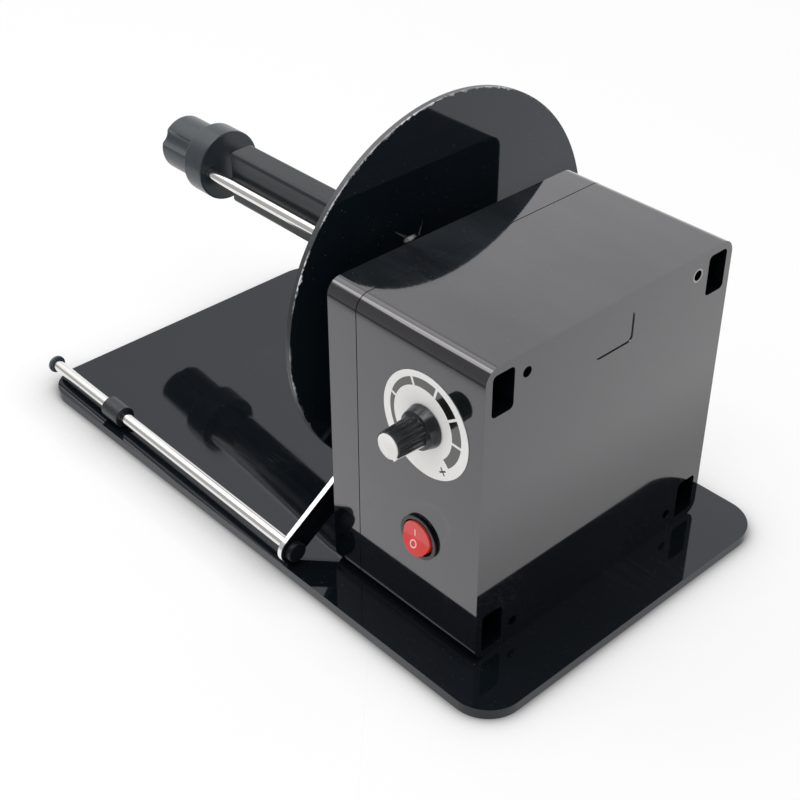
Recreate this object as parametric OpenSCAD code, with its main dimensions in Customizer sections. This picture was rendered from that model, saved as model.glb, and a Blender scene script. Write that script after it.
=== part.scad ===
// Label rewinder: a powered spindle on a small case, with a hanging guide arm that switches the motor.
// Millimetres, +Z up. X = 0 on the spindle's axis, Y = 0 half way along the base plate,
// Z = 0 on the underside of the base plate. The spindle points along +Y.

/* [Base plate] */
// Width of the base plate, side to side
plate_w = 188; // [176:1:240]
// Length of the base plate, along the spindle
plate_l = 335; // [300:1:400]
// Thickness of the base plate
plate_t = 5; // [4:0.5:10]
// Radius of the base plate's corners
plate_corner_r = 18; // [6:1:30]
// How far the plate's middle lies to the left of the spindle
plate_shift = 1.5; // [0:0.5:6]
// From the plate's front edge to the case's rear face
case_setback = 28; // [15:1:50]

/* [Case] */
// Outside width of the case
case_w = 150; // [140:1:180]
// Outside height of the case
case_h = 150; // [142:1:180]
// Outside depth of the case, cover included
case_d = 90; // [86:1:110]
// Depth of the front cover
cover_d = 17.5; // [15:0.5:22]
// Wall of the case and cover
wall = 3; // [2.5:0.25:4]
// Radius of the four long edges of the case
case_edge_r = 7; // [3:0.5:9]
// Width of the four corner screw wells
well_w = 12; // [9:0.5:14]
// Height of the two upper screw wells
well_h = 19.5; // [14:0.5:22]
// Height of the two lower screw wells
well_low_h = 20; // [14:0.5:24]
// Depth of the screw wells from the rear face
well_d = 58; // [40:1:62]
// Side-to-side spacing of the four rear holes
rear_hole_x = 104.4; // [90:0.2:110]
// Up-and-down spacing of the four rear holes
rear_hole_z = 130; // [110:1:132]
// Radius of the rear holes
rear_hole_r = 2.4; // [1.5:0.1:3]
// Width of the sunk panel at the top of the rear face
panel_w = 23; // [15:0.5:40]
// Height of the sunk panel
panel_h = 14.5; // [8:0.5:20]

/* [Spindle] */
// Gap between the base plate and the rim of the disc
disc_clear = 7.4; // [4:0.1:16]
// How far the spindle's axis lies from the middle of the case, away from the speed knob
axis_x = 16.3; // [0:0.1:18]
// Gap between the cover and the flange disc
disc_gap = 23.6; // [20:0.1:30]
// Radius of the flange disc
disc_r = 93.7; // [80:0.1:105]
// Thickness of the flange disc
disc_t = 3; // [2.5:0.5:6]
// Width of the flat core bar
bar_w = 14.6; // [12:0.1:15]
// Height of the flat core bar
bar_h = 29; // [25:0.5:33]
// Length of the core bar in front of the disc
bar_l = 149.8; // [100:0.1:165]
// Radius of the two clamp rods
rod_r = 3; // [2:0.25:3.5]
// Distance of each clamp rod from the spindle's axis
rod_offset = 12.5; // [12:0.25:13.5]
// Gap between the end of the core bar and the end collar
collar_gap = 12.2; // [4:0.1:20]
// Radius of the end collar
collar_r = 19; // [18.5:0.25:26]
// Thickness of the end collar
collar_t = 14.6; // [10:0.1:20]
// Radius of the pull knob's lobes
pull_r = 15; // [13:0.1:17]
// Length of the pull knob
pull_l = 26.3; // [18:0.1:32]

/* [Guide arm] */
// Length of the arm between its two axes
arm_l = 90; // [84:1:94]
// Width of the arm
arm_w = 14; // [11:0.5:14]
// Thickness of the arm
arm_t = 3; // [2:0.25:3.25]
// Slope of the arm at rest
arm_angle = 33.5; // [28:0.5:38]
// How far outside the case's side the guide roller hangs
guide_out = 15.1; // [14:0.1:20]
// Gap between the base plate and the arm's lower end
guide_clear = 0.3; // [0.3:0.1:5]
// Downward slope of the guide roller to its free end
guide_drop = 0.3; // [0:0.1:0.4]
// Inward slope of the guide roller to its free end
guide_yaw = 1; // [0:0.1:1.5]
// Length of the guide roller with its gaps
guide_l = 202; // [180:1:210]
// Radius of the guide roller
roller_r = 3; // [2.75:0.25:4]
// Radius of the axle inside the guide roller
axle_r = 2; // [1.5:0.25:2.25]
// Radius of the stop ring on the guide roller
ring_r = 5.6; // [5:0.1:5.8]
// Length of the stop ring
ring_l = 13.9; // [6:0.1:18]
// Where the stop ring starts, from the arm
ring_at = 136; // [105:0.5:140]

/* [Controls] */
// Depth of the speed knob's axis from the rear face
knob_y = 31.6; // [28:0.1:36]
// Height of the speed knob's axis above the base plate
knob_h = 109; // [100:0.5:112]
// Radius of the dial scale
dial_r = 24.2; // [20:0.1:26]
// Radius of the speed knob's skirt
skirt_r = 9.8; // [9:0.1:12]
// Length of the speed knob out to its cap, from the case
knob_l = 20; // [16:0.5:26]
// Depth of the rocker switch's centre from the rear face
rocker_y = 34; // [30:0.5:36]
// Height of the rocker switch's centre above the base plate
rocker_h = 49.6; // [44:0.2:60]
// Radius of the rocker switch's bezel
bezel_r = 10.5; // [10.4:0.1:13]
// Radius of the round rocker
rocker_r = 7.9; // [7:0.1:8]
// Tilt of the rocker to either side
rocker_tilt = 9; // [6:0.5:10]
// Height of the power socket above the base plate
socket_h = 34; // [30:0.5:50]

/* [Fits] */
// Radial clearance of turning and sliding fits
run_gap = 0.05; // [0.03:0.01:0.08]
// Clearance round fixed screws and pressed pieces
fix_gap = 0.02; // [0.01:0.01:0.04]
// Gap between pieces that pass each other
free_gap = 0.4; // [0.3:0.05:0.5]

/* [Hidden] */
$fn = 48;
eps = 0.5;
case_y0 = case_setback - plate_l / 2;
case_y1 = case_y0 + case_d;
seam_y = case_y1 - cover_d;
case_z0 = plate_t;
case_z1 = plate_t + case_h;
case_zc = plate_t + case_h / 2;
inner_y0 = case_y0 + wall;
inner_y1 = case_y1 - wall;
floor_z = case_z0 + wall;
axis_z = plate_t + disc_clear + disc_r;
well_inset = wall + 0.8;
well_wall = 2;
well_x = case_w / 2 - well_inset - well_w / 2;
well_screw_up = case_z1 - well_inset - well_h / 2;
well_screw_low = case_z0 + well_inset + well_low_h / 2;
well_end = case_y0 + well_d;
cover_screw_r = 2;
cover_screw_end = case_y1 - wall - 1.5;
base_screw_x = case_w / 2 - well_inset - well_w - well_wall - 6.2;
base_screw_y = [case_y0 + 12, seam_y - 11];
base_screw_r = 2;
base_nut_t = 3.2;

gear_m = 0.5;
out_n = 40;
idler_small_n = 12;
idler_big_n = 24;
pinion_n = 10;
idler_drop = gear_m * (out_n + idler_small_n) / 2;
pinion_drop = idler_drop - gear_m * (idler_big_n + pinion_n) / 2;
idler_z = axis_z - idler_drop;
motor_z = axis_z - pinion_drop;
gearbox_r = 18.5;
gearbox_wall = 1.5;
front_t = 4;
front_y0 = inner_y1 - front_t;
gearbox_l = 20;
gearbox_y0 = front_y0 - gearbox_l;
out_gear_y1 = front_y0 - free_gap - 1;
out_gear_t = 5;
out_gear_y0 = out_gear_y1 - out_gear_t;
big_gear_y1 = out_gear_y0 - 1;
big_gear_t = 4;
big_gear_y0 = big_gear_y1 - big_gear_t;
motor_r = 16;
motor_l = 32;
motor_wall = 1.2;
motor_y0 = gearbox_y0 - motor_l;
motor_end_t = 4;
motor_shaft_r = 1;
rotor_r = 10;
rotor_y1 = gearbox_y0 - motor_wall - 2.5;
rotor_inset = 8;
rotor_y0 = motor_y0 + rotor_inset;
magnet_r0 = rotor_r + 0.6;
magnet_gap = 7;
motor_tab_l = 6;
motor_tab_w = 3;
motor_tab_at = 9;
idler_pin_r = 1;
gearbox_screw_r = 1.5;
gearbox_screw_at = 15.2;
gearbox_head_t = 1.6;

shaft_r = 3;
disc_y0 = case_y1 + disc_gap;
disc_y1 = disc_y0 + disc_t;
hub_t = 10;
hub_r = 17;
hub_y0 = disc_y0 - hub_t;
shaft_y1 = disc_y1 + 18;
shaft_hole_r = shaft_r + 1.2;
bar_y1 = disc_y1 + bar_l;
bar_edge_r = 2.4;
core_screw_r = 2;
core_screw_z = 8.5;
core_screw_y1 = disc_y1 + 12;
collar_y0 = bar_y1 + collar_gap;
collar_y1 = collar_y0 + collar_t;
pull_y1 = collar_y1 + pull_l;
rod_y0 = hub_y0 + 1;
rod_y1 = collar_y0 + collar_t - 3;
pull_screw_r = 2.5;
flute_r = pull_r * 0.4;
flute_depth = pull_r * 0.18;
flute_at = pull_r + flute_r - flute_depth;

arm_gap = 12.3;
arm_y0 = case_y1 + arm_gap;
arm_y1 = arm_y0 + arm_t;
guide_x = -case_w / 2 - guide_out;
guide_z = plate_t + max(arm_w / 2, ring_r + guide_l * sin(guide_drop)) + guide_clear;
pivot_x = guide_x + arm_l * cos(arm_angle);
pivot_z = guide_z + arm_l * sin(arm_angle);
pivot_r = 3;
bush_r = 5;
bush_flange_r = 7.5;
bush_flange_t = arm_gap - free_gap;
bush_y0 = inner_y1 - 6;
bush_nut_t = 3;
cam_t = 7.5;
cam_y1 = bush_y0 - free_gap;
cam_y0 = cam_y1 - cam_t;
cam_r = 6;
cam_neck_r = pivot_r + 1.2;
finger_at = 8;
finger_r = 2;
finger_t = 3;
cam_hub_y0 = cam_y0 + finger_t + free_gap;
cam_grub_y = (cam_hub_y0 + cam_y1) / 2;
pivot_y0 = cam_y0 - 1.5;
pivot_head_r = 5;
pivot_head_t = 1.6;
stop_r = 2.5;
stop_along = 30;
stop_y1 = arm_y1 - 0.3;
stop_x = pivot_x - stop_along * cos(arm_angle) + (arm_w / 2 + stop_r + free_gap) * sin(arm_angle);
stop_z = pivot_z - stop_along * sin(arm_angle) - (arm_w / 2 + stop_r + free_gap) * cos(arm_angle);
axle_head_r = 4.9;
axle_head_t = 3.4;
axle_seat = 0.15;
axle_play = 0.05 + arm_t * tan(guide_yaw + guide_drop);
flange_r = 4.7;
flange_t = 1.5;

lever_x = pivot_x + 30;
lever_top = pivot_z - finger_r - free_gap;
lever_t = 0.6;
lever_w = 5;
lever_l = 26;
lever_tongue_w = finger_t;
lever_tongue_l = 12;
lever_pin_r = 0.8;
lever_z = lever_top - lever_pin_r;
lever_y = cam_y0 + finger_t / 2;
switch_top = lever_top - lever_t - 6.4;
switch_h = 10;
switch_l = 20;
switch_t = 6.4;
switch_y0 = lever_y - switch_t / 2;
switch_y1 = lever_y + switch_t / 2;
switch_hole = 9.5;
switch_screw_r = 1;

dial_x = -case_w / 2;
dial_t = 0.4;
dial_y = case_y0 + knob_y;
dial_z = plate_t + knob_h;
pot_r = 8.5;
pot_l = 9;
pot_clear = 0.5;
pot_bush_r = 3.5;
pot_shaft_r = 2.5;
pot_nut_t = 2;
pot_nut_r = 5.6;
knob_x0 = dial_x - dial_t - free_gap;
knob_x1 = dial_x - knob_l;
knob_waist_x = dial_x - 5.5;
skirt_top_r = skirt_r - 1.2;
grip_r = 7;
grip_end_r = 6.3;
cap_r = 5.6;
cap_t = 1.6;
pot_bush_x = dial_x - 6;
pot_shaft_x = knob_x1 + cap_t + 1.4;

rocker_cy = case_y0 + rocker_y;
rocker_cz = plate_t + rocker_h;
bezel_t = 1.5;
rocker_body_r = 9.8;
rocker_body_l = 17;
rocker_well_r = 8.9;
rocker_well_d = 8;
rocker_x = dial_x + 0.6;
trunnion_r = 1.2;
trunnion_l = 0.7;

socket_x = case_w / 2;
socket_y = case_y0 + 34;
socket_z = plate_t + socket_h;
socket_r = 4;
socket_flange_r = 6;
socket_nut_r = 6.4;

board_l = 46;
board_w = 72;
board_t = 1.6;
board_y0 = case_y0 + 16;
board_boss_h = 6;
board_z = floor_z + board_boss_h;
board_hole_x = board_w / 2 - 4;
board_hole_y = [board_y0 + 4, board_y0 + board_l - 4];
board_screw_r = 1.25;

// Cylinder along +Y between two depths
module cyl_y(r, y0, y1, x = 0, z = 0) {
    translate([x, y0, z]) rotate([-90, 0, 0]) cylinder(h = y1 - y0, r = r);
}

// Cone along +Y, radius ra at y0 and rb at y1
module cone_y(ra, rb, y0, y1, x = 0, z = 0) {
    translate([x, y0, z]) rotate([-90, 0, 0]) cylinder(h = y1 - y0, r1 = ra, r2 = rb);
}

// Cylinder along +X between two places
module cyl_x(r, x0, x1, y = 0, z = 0) {
    translate([x0, y, z]) rotate([0, 90, 0]) cylinder(h = x1 - x0, r = r);
}

// Cylinder along +Z between two heights
module cyl_z(r, z0, z1, x = 0, y = 0) {
    translate([x, y, z0]) cylinder(h = z1 - z0, r = r);
}

// Flat shape drawn in X and Z, drawn out along Y
module prism_y(y0, y1) {
    translate([0, y1, 0]) rotate([90, 0, 0]) linear_extrude(height = y1 - y0) children();
}

// Hexagonal prism along +Y
module hex_y(r, y0, y1, x = 0, z = 0) {
    translate([x, y0, z]) rotate([-90, 0, 0]) cylinder(h = y1 - y0, r = r, $fn = 6);
}

// Box between two corners
module box(a, b) {
    translate(a) cube(b - a);
}

// Rectangle with rounded corners about the origin
module rounded_rect(w, h, r) {
    square([w - 2 * r, h], center = true);
    square([w, h - 2 * r], center = true);
    for (sx = [-1, 1], sy = [-1, 1])
        translate([sx * (w / 2 - r), sy * (h / 2 - r)]) circle(r = r);
}

// Round bar with rounded rims, standing on the origin along +Z
module soft_disc(r, h, f) {
    rotate_extrude() {
        square([r - f, h]);
        translate([0, f]) square([r, h - 2 * f]);
        translate([r - f, f]) circle(r = f);
        translate([r - f, h - f]) circle(r = f);
    }
}

// Outline of the case, drawn in by an inset
module case_outline(inset) {
    translate([0, case_zc]) rounded_rect(case_w - 2 * inset, case_h - 2 * inset, max(case_edge_r - inset, 0.6));
}

// Outline of the four corner blocks that hold the screw wells
module corner_blocks() {
    intersection() {
        case_outline(wall / 2);
        for (sx = [-1, 1]) {
            w = well_inset + well_w + well_wall;
            h_up = well_inset + well_h + well_wall;
            h_low = well_inset + well_low_h + well_wall;
            translate([sx * (case_w / 2 - w / 2), case_z1 - h_up / 2]) square([w, h_up], center = true);
            translate([sx * (case_w / 2 - w / 2), case_z0 + h_low / 2]) square([w, h_low], center = true);
        }
    }
}

// Outline of the four screw wells
module well_outline() {
    for (sx = [-1, 1]) {
        translate([sx * well_x, case_z1 - well_inset - well_h / 2]) rounded_rect(well_w, well_h, 2.2);
        translate([sx * well_x, case_z0 + well_inset + well_low_h / 2]) rounded_rect(well_w, well_low_h, 2.2);
    }
}

// Puts children at the four cover screws
module at_cover_screws() {
    for (sx = [-1, 1], z = [well_screw_up, well_screw_low])
        translate([sx * well_x, 0, z]) children();
}

// Puts children on the spindle's axis
module at_axis() {
    translate([axis_x, 0, 0]) children();
}

// Puts children at the four gearbox screws
module at_gearbox_screws() {
    for (a = [45, 135, 225, 315])
        translate([gearbox_screw_at * cos(a), 0, motor_z + gearbox_screw_at * sin(a)]) children();
}

// Puts children at the four base screws
module at_base_screws() {
    for (sx = [-1, 1], y = base_screw_y) translate([sx * base_screw_x, y, 0]) children();
}

// Puts children at the four board screws
module at_board_screws() {
    for (sx = [-1, 1], y = board_hole_y) translate([sx * board_hole_x, y, 0]) children();
}

// Puts children at the two limit switch screws
module at_switch_screws() {
    for (k = [-1, 1])
        translate([lever_x + 1 - switch_l / 2 + k * switch_hole / 2, 0, switch_top - switch_h + 3]) children();
}

// The guide roller's own frame: origin on the arm's front face, +Y along the roller
module guide_frame() {
    translate([guide_x, arm_y1, guide_z]) rotate([-guide_drop, 0, -guide_yaw]) children();
}

// Spur gear outline with straight flanks
module gear_outline(n, m, play) {
    rp = n * m / 2;
    ra = rp + 0.9 * m;
    rf = rp - 1.2 * m;
    hp = 90 / n - play / 2 / rp * 180 / PI;
    ha = hp - tan(20) * (ra - rp) / ra * 180 / PI;
    hf = hp + tan(20) * (rp - rf) / rf * 180 / PI;
    polygon([for (i = [0 : n - 1], k = [0 : 3])
        let (a = 360 * i / n + [-hf, -ha, ha, hf][k], r = [rf, ra, ra, rf][k]) [r * cos(a), r * sin(a)]]);
}

module base_plate() color([0.06, 0.06, 0.065]) difference() {
    translate([-plate_shift, 0, 0]) linear_extrude(height = plate_t) rounded_rect(plate_w, plate_l, plate_corner_r);
    at_base_screws() {
        cyl_z(base_screw_r + 0.3, -eps, plate_t + eps);
        translate([0, 0, 0.2]) cylinder(h = 2.4, r1 = 4.4, r2 = 2.3);
        cyl_z(4.4, -eps, 0.2);
    }
}

module base_screws() color([0.5, 0.5, 0.52]) at_base_screws() {
    cyl_z(base_screw_r, 2, floor_z + base_nut_t + 1.5);
    translate([0, 0, 0.2]) cylinder(h = 2.1, r1 = 4.1, r2 = 2);
}

module base_nuts() color([0.55, 0.55, 0.57]) at_base_screws() difference() {
    translate([0, 0, floor_z]) cylinder(h = base_nut_t, r = 4.04, $fn = 6);
    cyl_z(base_screw_r + fix_gap, floor_z - eps, floor_z + base_nut_t + eps);
}

module main_shell() color([0.05, 0.05, 0.055]) difference() {
    union() {
        difference() {
            prism_y(case_y0, seam_y) case_outline(0);
            prism_y(inner_y0, seam_y + eps) case_outline(wall);
        }
        difference() {
            prism_y(case_y0 + wall / 2, seam_y) corner_blocks();
            cyl_x(pot_r + pot_clear, dial_x, dial_x + wall + pot_l + pot_clear, dial_y, dial_z);
        }
        at_board_screws() cyl_z(3, floor_z - wall / 2, board_z);
    }
    prism_y(case_y0 - eps, well_end) well_outline();
    at_cover_screws() cyl_y(cover_screw_r + 0.3, well_end - eps, seam_y + eps);
    for (sx = [-1, 1], sz = [-1, 1])
        cyl_y(rear_hole_r, case_y0 - eps, inner_y0 + eps, sx * rear_hole_x / 2, case_zc + sz * rear_hole_z / 2);
    prism_y(case_y0 - eps, case_y0 + 0.5)
        translate([0, case_z1 - 17]) rounded_rect(panel_w, panel_h, 2.5);
    at_base_screws() cyl_z(base_screw_r + 0.3, case_z0 - eps, floor_z + eps);
    at_board_screws() cyl_z(board_screw_r + fix_gap, floor_z + 1, board_z + eps);
    cyl_x(pot_bush_r + 0.2, dial_x - eps, dial_x + wall + eps, dial_y, dial_z);
    cyl_x(rocker_body_r + 0.1, dial_x - eps, dial_x + wall + eps, rocker_cy, rocker_cz);
    cyl_x(socket_r + 0.1, socket_x - wall - eps, socket_x + eps, socket_y, socket_z);
}

module cover_shell() color([0.055, 0.055, 0.06]) difference() {
    union() {
        difference() {
            prism_y(seam_y, case_y1) case_outline(0);
            prism_y(seam_y - eps, inner_y1) case_outline(wall);
        }
        prism_y(seam_y, case_y1 - wall / 2) corner_blocks();
        at_switch_screws() cyl_y(2.6, switch_y1, case_y1 - wall / 2);
    }
    at_cover_screws() cyl_y(cover_screw_r + fix_gap, seam_y - eps, cover_screw_end + 0.5);
    at_axis() cyl_y(shaft_hole_r, inner_y1 - eps, case_y1 + eps, 0, axis_z);
    at_axis() at_gearbox_screws() {
        cyl_y(gearbox_screw_r + 0.2, inner_y1 - eps, case_y1 + eps);
        cone_y(gearbox_screw_r + 0.2, 3.1, case_y1 - gearbox_head_t - 0.2, case_y1 - 0.1);
        cyl_y(3.1, case_y1 - 0.1, case_y1 + eps);
    }
    cyl_y(bush_r + fix_gap, inner_y1 - eps, case_y1 + eps, pivot_x, pivot_z);
    cyl_y(stop_r - 1 + fix_gap, inner_y1 - eps, case_y1 + eps, stop_x, stop_z);
    at_switch_screws() cyl_y(switch_screw_r + fix_gap, switch_y1 - eps, switch_y1 + 7);
}

module cover_screws() color([0.5, 0.5, 0.52]) at_cover_screws() difference() {
    union() {
        cyl_y(cover_screw_r, well_end - 0.5, cover_screw_end);
        cyl_y(3.6, well_end - 2.6, well_end);
    }
    box([-0.5, well_end - 3, -4], [0.5, well_end - 1.6, 4]);
}

module gearbox_front() color([0.62, 0.6, 0.52]) difference() {
    cyl_y(gearbox_r, front_y0, inner_y1, 0, motor_z);
    cyl_y(shaft_r + run_gap, front_y0 - eps, inner_y1 + eps, 0, axis_z);
    at_gearbox_screws() cyl_y(gearbox_screw_r + fix_gap, front_y0 - eps, inner_y1 + eps);
    cyl_y(idler_pin_r + fix_gap, front_y0 - eps, front_y0 + 2.5, 0, idler_z);
}

module gearbox_case() color([0.6, 0.6, 0.62]) difference() {
    cyl_y(gearbox_r, gearbox_y0, front_y0, 0, motor_z);
    cyl_y(gearbox_r - gearbox_wall, gearbox_y0 + gearbox_wall, front_y0 + eps, 0, motor_z);
    cyl_y(4, gearbox_y0 - eps, gearbox_y0 + gearbox_wall + eps, 0, motor_z);
    cyl_y(idler_pin_r + fix_gap, gearbox_y0 + 0.5, gearbox_y0 + gearbox_wall + eps, 0, idler_z);
}

module gearbox_screws() color([0.5, 0.5, 0.52]) at_gearbox_screws() {
    cyl_y(gearbox_screw_r, inner_y1 - 3.5, case_y1 - gearbox_head_t / 2);
    cone_y(gearbox_screw_r, 2.9, case_y1 - gearbox_head_t, case_y1 - 0.2);
}

module idler_pin() color([0.7, 0.7, 0.72])
    cyl_y(idler_pin_r, gearbox_y0 + 0.7, front_y0 + 2.2, 0, idler_z);

module motor_can() color([0.68, 0.68, 0.66]) difference() {
    cyl_y(motor_r, motor_y0, gearbox_y0, 0, motor_z);
    cyl_y(motor_r - motor_wall, motor_y0 - eps, gearbox_y0 - motor_wall, 0, motor_z);
    cyl_y(motor_shaft_r + run_gap, gearbox_y0 - motor_wall - eps, gearbox_y0 + eps, 0, motor_z);
}

module motor_magnets() color([0.2, 0.2, 0.21]) difference() {
    cyl_y(motor_r - motor_wall - fix_gap, rotor_y0 + 1, rotor_y1 - 1, 0, motor_z);
    cyl_y(magnet_r0, rotor_y0, rotor_y1, 0, motor_z);
    box([-motor_r, rotor_y0, motor_z - magnet_gap / 2], [motor_r, rotor_y1, motor_z + magnet_gap / 2]);
}

module motor_end() color([0.12, 0.12, 0.13]) difference() {
    union() {
        cyl_y(motor_r, motor_y0 - motor_end_t, motor_y0, 0, motor_z);
        cyl_y(motor_r - motor_wall - 0.1, motor_y0 - eps, motor_y0 + 2, 0, motor_z);
        for (sx = [-1, 1])
            box([sx * motor_tab_at - motor_tab_w / 2, motor_y0 - motor_end_t - motor_tab_l, motor_z - 0.4],
                [sx * motor_tab_at + motor_tab_w / 2, motor_y0 - motor_end_t + 1, motor_z + 0.4]);
    }
    cyl_y(motor_shaft_r + run_gap, motor_y0 - motor_end_t - eps, motor_y0 + 3, 0, motor_z);
}

module dial_scale() color([0.93, 0.93, 0.92]) difference() {
    cyl_x(dial_r, dial_x - dial_t, dial_x, dial_y, dial_z);
    cyl_x(pot_bush_r + 0.2, dial_x - dial_t - eps, dial_x + eps, dial_y, dial_z);
}

module pot_body() color([0.35, 0.36, 0.4]) difference() {
    union() {
        cyl_x(pot_r, dial_x + wall, dial_x + wall + pot_l, dial_y, dial_z);
        cyl_x(pot_bush_r, pot_bush_x, dial_x + wall + 1, dial_y, dial_z);
        for (k = [-1, 0, 1])
            box([dial_x + wall + 3, dial_y + k * 5 - 0.9, dial_z - pot_r - 6],
                [dial_x + wall + 3.8, dial_y + k * 5 + 0.9, dial_z - 3]);
    }
    cyl_x(pot_shaft_r + run_gap, pot_bush_x - eps, dial_x + wall + pot_l - 1.5, dial_y, dial_z);
}

module pot_nut() color([0.62, 0.62, 0.64]) difference() {
    translate([dial_x - dial_t - pot_nut_t, dial_y, dial_z]) rotate([0, 90, 0])
        cylinder(h = pot_nut_t, r = pot_nut_r, $fn = 6);
    cyl_x(pot_bush_r + fix_gap, dial_x - dial_t - pot_nut_t - eps, dial_x - dial_t + eps, dial_y, dial_z);
}

module rocker_housing() color([0.05, 0.05, 0.055]) difference() {
    union() {
        translate([dial_x, rocker_cy, rocker_cz]) rotate([0, -90, 0]) difference() {
            soft_disc(bezel_r, bezel_t * 2, 0.9);
            translate([0, 0, -bezel_t * 2]) cylinder(h = bezel_t * 2, r = bezel_r + 1);
            translate([0, 0, bezel_t]) cylinder(h = bezel_t * 2, r = bezel_r + 1);
        }
        cyl_x(rocker_body_r, dial_x - 0.5, dial_x + rocker_body_l, rocker_cy, rocker_cz);
    }
    cyl_x(rocker_well_r, dial_x - bezel_t - eps, dial_x + rocker_well_d, rocker_cy, rocker_cz);
    cyl_y(trunnion_r + run_gap, rocker_cy - rocker_well_r - trunnion_l, rocker_cy + rocker_well_r + trunnion_l,
        rocker_x, rocker_cz);
}

module rocker_terminals() color([0.72, 0.6, 0.35])
    for (k = [-1, 0, 1])
        box([dial_x + rocker_body_l, rocker_cy - 2.4, rocker_cz + k * 5 - 0.4],
            [dial_x + rocker_body_l + 7, rocker_cy + 2.4, rocker_cz + k * 5 + 0.4]);

module power_socket() color([0.06, 0.06, 0.065]) {
    difference() {
        union() {
            cyl_x(socket_flange_r, socket_x, socket_x + 1.8, socket_y, socket_z);
            cyl_x(socket_r, socket_x - 13, socket_x + 0.5, socket_y, socket_z);
        }
        cyl_x(2.8, socket_x - 8, socket_x + 1.8 + eps, socket_y, socket_z);
    }
    cyl_x(1, socket_x - 8.5, socket_x + 1, socket_y, socket_z);
}

module socket_nut() color([0.55, 0.55, 0.57]) difference() {
    translate([socket_x - wall - 2.2, socket_y, socket_z]) rotate([0, 90, 0])
        cylinder(h = 2.2, r = socket_nut_r, $fn = 6);
    cyl_x(socket_r + fix_gap, socket_x - wall - 2.2 - eps, socket_x - wall + eps, socket_y, socket_z);
}

module control_board() color([0.07, 0.3, 0.14]) difference() {
    box([-board_w / 2, board_y0, board_z], [board_w / 2, board_y0 + board_l, board_z + board_t]);
    at_board_screws() cyl_z(board_screw_r + 0.2, board_z - eps, board_z + board_t + eps);
}

module board_screws() color([0.55, 0.55, 0.57]) at_board_screws() {
    cyl_z(board_screw_r, floor_z + 1.5, board_z + board_t + 0.5);
    cyl_z(2.4, board_z + board_t, board_z + board_t + 1.6);
}

module board_capacitor() color([0.1, 0.12, 0.25])
    translate([18, board_y0 + 14, board_z + board_t]) soft_disc(5, 16, 0.8);

module heat_sink() color([0.16, 0.16, 0.17]) {
    box([-26, board_y0 + 10, board_z + board_t], [-4, board_y0 + 13, board_z + board_t + 20]);
    for (k = [0 : 5])
        box([-26 + k * 4.08, board_y0 + 12.5, board_z + board_t], [-24.4 + k * 4.08, board_y0 + 22, board_z + board_t + 20]);
}

module switch_body() color([0.08, 0.08, 0.085]) difference() {
    union() {
        box([lever_x + 1 - switch_l, switch_y0, switch_top - switch_h], [lever_x + 1, switch_y1, switch_top]);
        box([lever_x - 1.6, lever_y - 1.2, switch_top - 1], [lever_x + 1, lever_y + 1.2, lever_top + 0.9]);
        box([lever_x - 7.5, lever_y - 1, switch_top - 1], [lever_x - 5.5, lever_y + 1, switch_top + 3.6]);
        for (k = [-1, 0, 1])
            box([lever_x + 1 - switch_l / 2 + k * 7 - 0.9, lever_y - 0.3, switch_top - switch_h - 5],
                [lever_x + 1 - switch_l / 2 + k * 7 + 0.9, lever_y + 0.3, switch_top - switch_h + 1]);
    }
    cyl_y(lever_pin_r + run_gap, lever_y - 2, lever_y + 2, lever_x, lever_z);
    at_switch_screws() cyl_y(switch_screw_r + 0.15, switch_y0 - eps, switch_y1 + eps);
}

module switch_screws() color([0.55, 0.55, 0.57]) at_switch_screws() {
    cyl_y(switch_screw_r, switch_y0 - 0.5, switch_y1 + 6);
    cyl_y(1.9, switch_y0 - 1.5, switch_y0);
}

module pivot_bush() color([0.72, 0.58, 0.3]) difference() {
    union() {
        cyl_y(bush_r, bush_y0, case_y1 + 0.2, pivot_x, pivot_z);
        cyl_y(bush_flange_r, case_y1, case_y1 + bush_flange_t, pivot_x, pivot_z);
    }
    cyl_y(pivot_r + run_gap, bush_y0 - eps, arm_y0, pivot_x, pivot_z);
}

module bush_nut() color([0.72, 0.6, 0.35]) difference() {
    hex_y(8.1, inner_y1 - bush_nut_t, inner_y1, pivot_x, pivot_z);
    cyl_y(bush_r + fix_gap, inner_y1 - bush_nut_t - eps, inner_y1 + eps, pivot_x, pivot_z);
}

module arm_stop() color([0.1, 0.1, 0.1]) {
    cyl_y(stop_r, case_y1, stop_y1, stop_x, stop_z);
    cyl_y(stop_r - 1, inner_y1, case_y1 + 0.5, stop_x, stop_z);
}

module output_shaft() color([0.72, 0.72, 0.74])
    cyl_y(shaft_r, out_gear_y0 - 0.6, shaft_y1, 0, axis_z);

module output_gear() color([0.7, 0.6, 0.35]) prism_y(out_gear_y0, out_gear_y1) translate([0, axis_z]) difference() {
    gear_outline(out_n, gear_m, 0.2);
    circle(r = shaft_r + fix_gap);
}

module drive_hub() color([0.7, 0.7, 0.72]) difference() {
    cyl_y(hub_r, hub_y0, disc_y0, 0, axis_z);
    cyl_y(shaft_r + fix_gap, hub_y0 - eps, disc_y0 + eps, 0, axis_z);
    for (k = [-1, 1]) {
        cyl_y(core_screw_r + 0.2, hub_y0 - eps, disc_y0 + eps, 0, axis_z + k * core_screw_z);
        cone_y(4, core_screw_r + 0.2, hub_y0 + 0.3, hub_y0 + 2.6, 0, axis_z + k * core_screw_z);
        cyl_y(4, hub_y0 - eps, hub_y0 + 0.3, 0, axis_z + k * core_screw_z);
        cyl_y(rod_r + run_gap, rod_y0 - free_gap, disc_y0 + eps, k * rod_offset, axis_z);
    }
    rotate_about_axis(45) cyl_z(1.5 + fix_gap, shaft_r + 0.5, hub_r + eps, 0, hub_y0 + hub_t / 2);
}

// Turns children, drawn about the origin, round the spindle's axis
module rotate_about_axis(a) {
    translate([0, 0, axis_z]) rotate([0, a, 0]) children();
}

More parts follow.
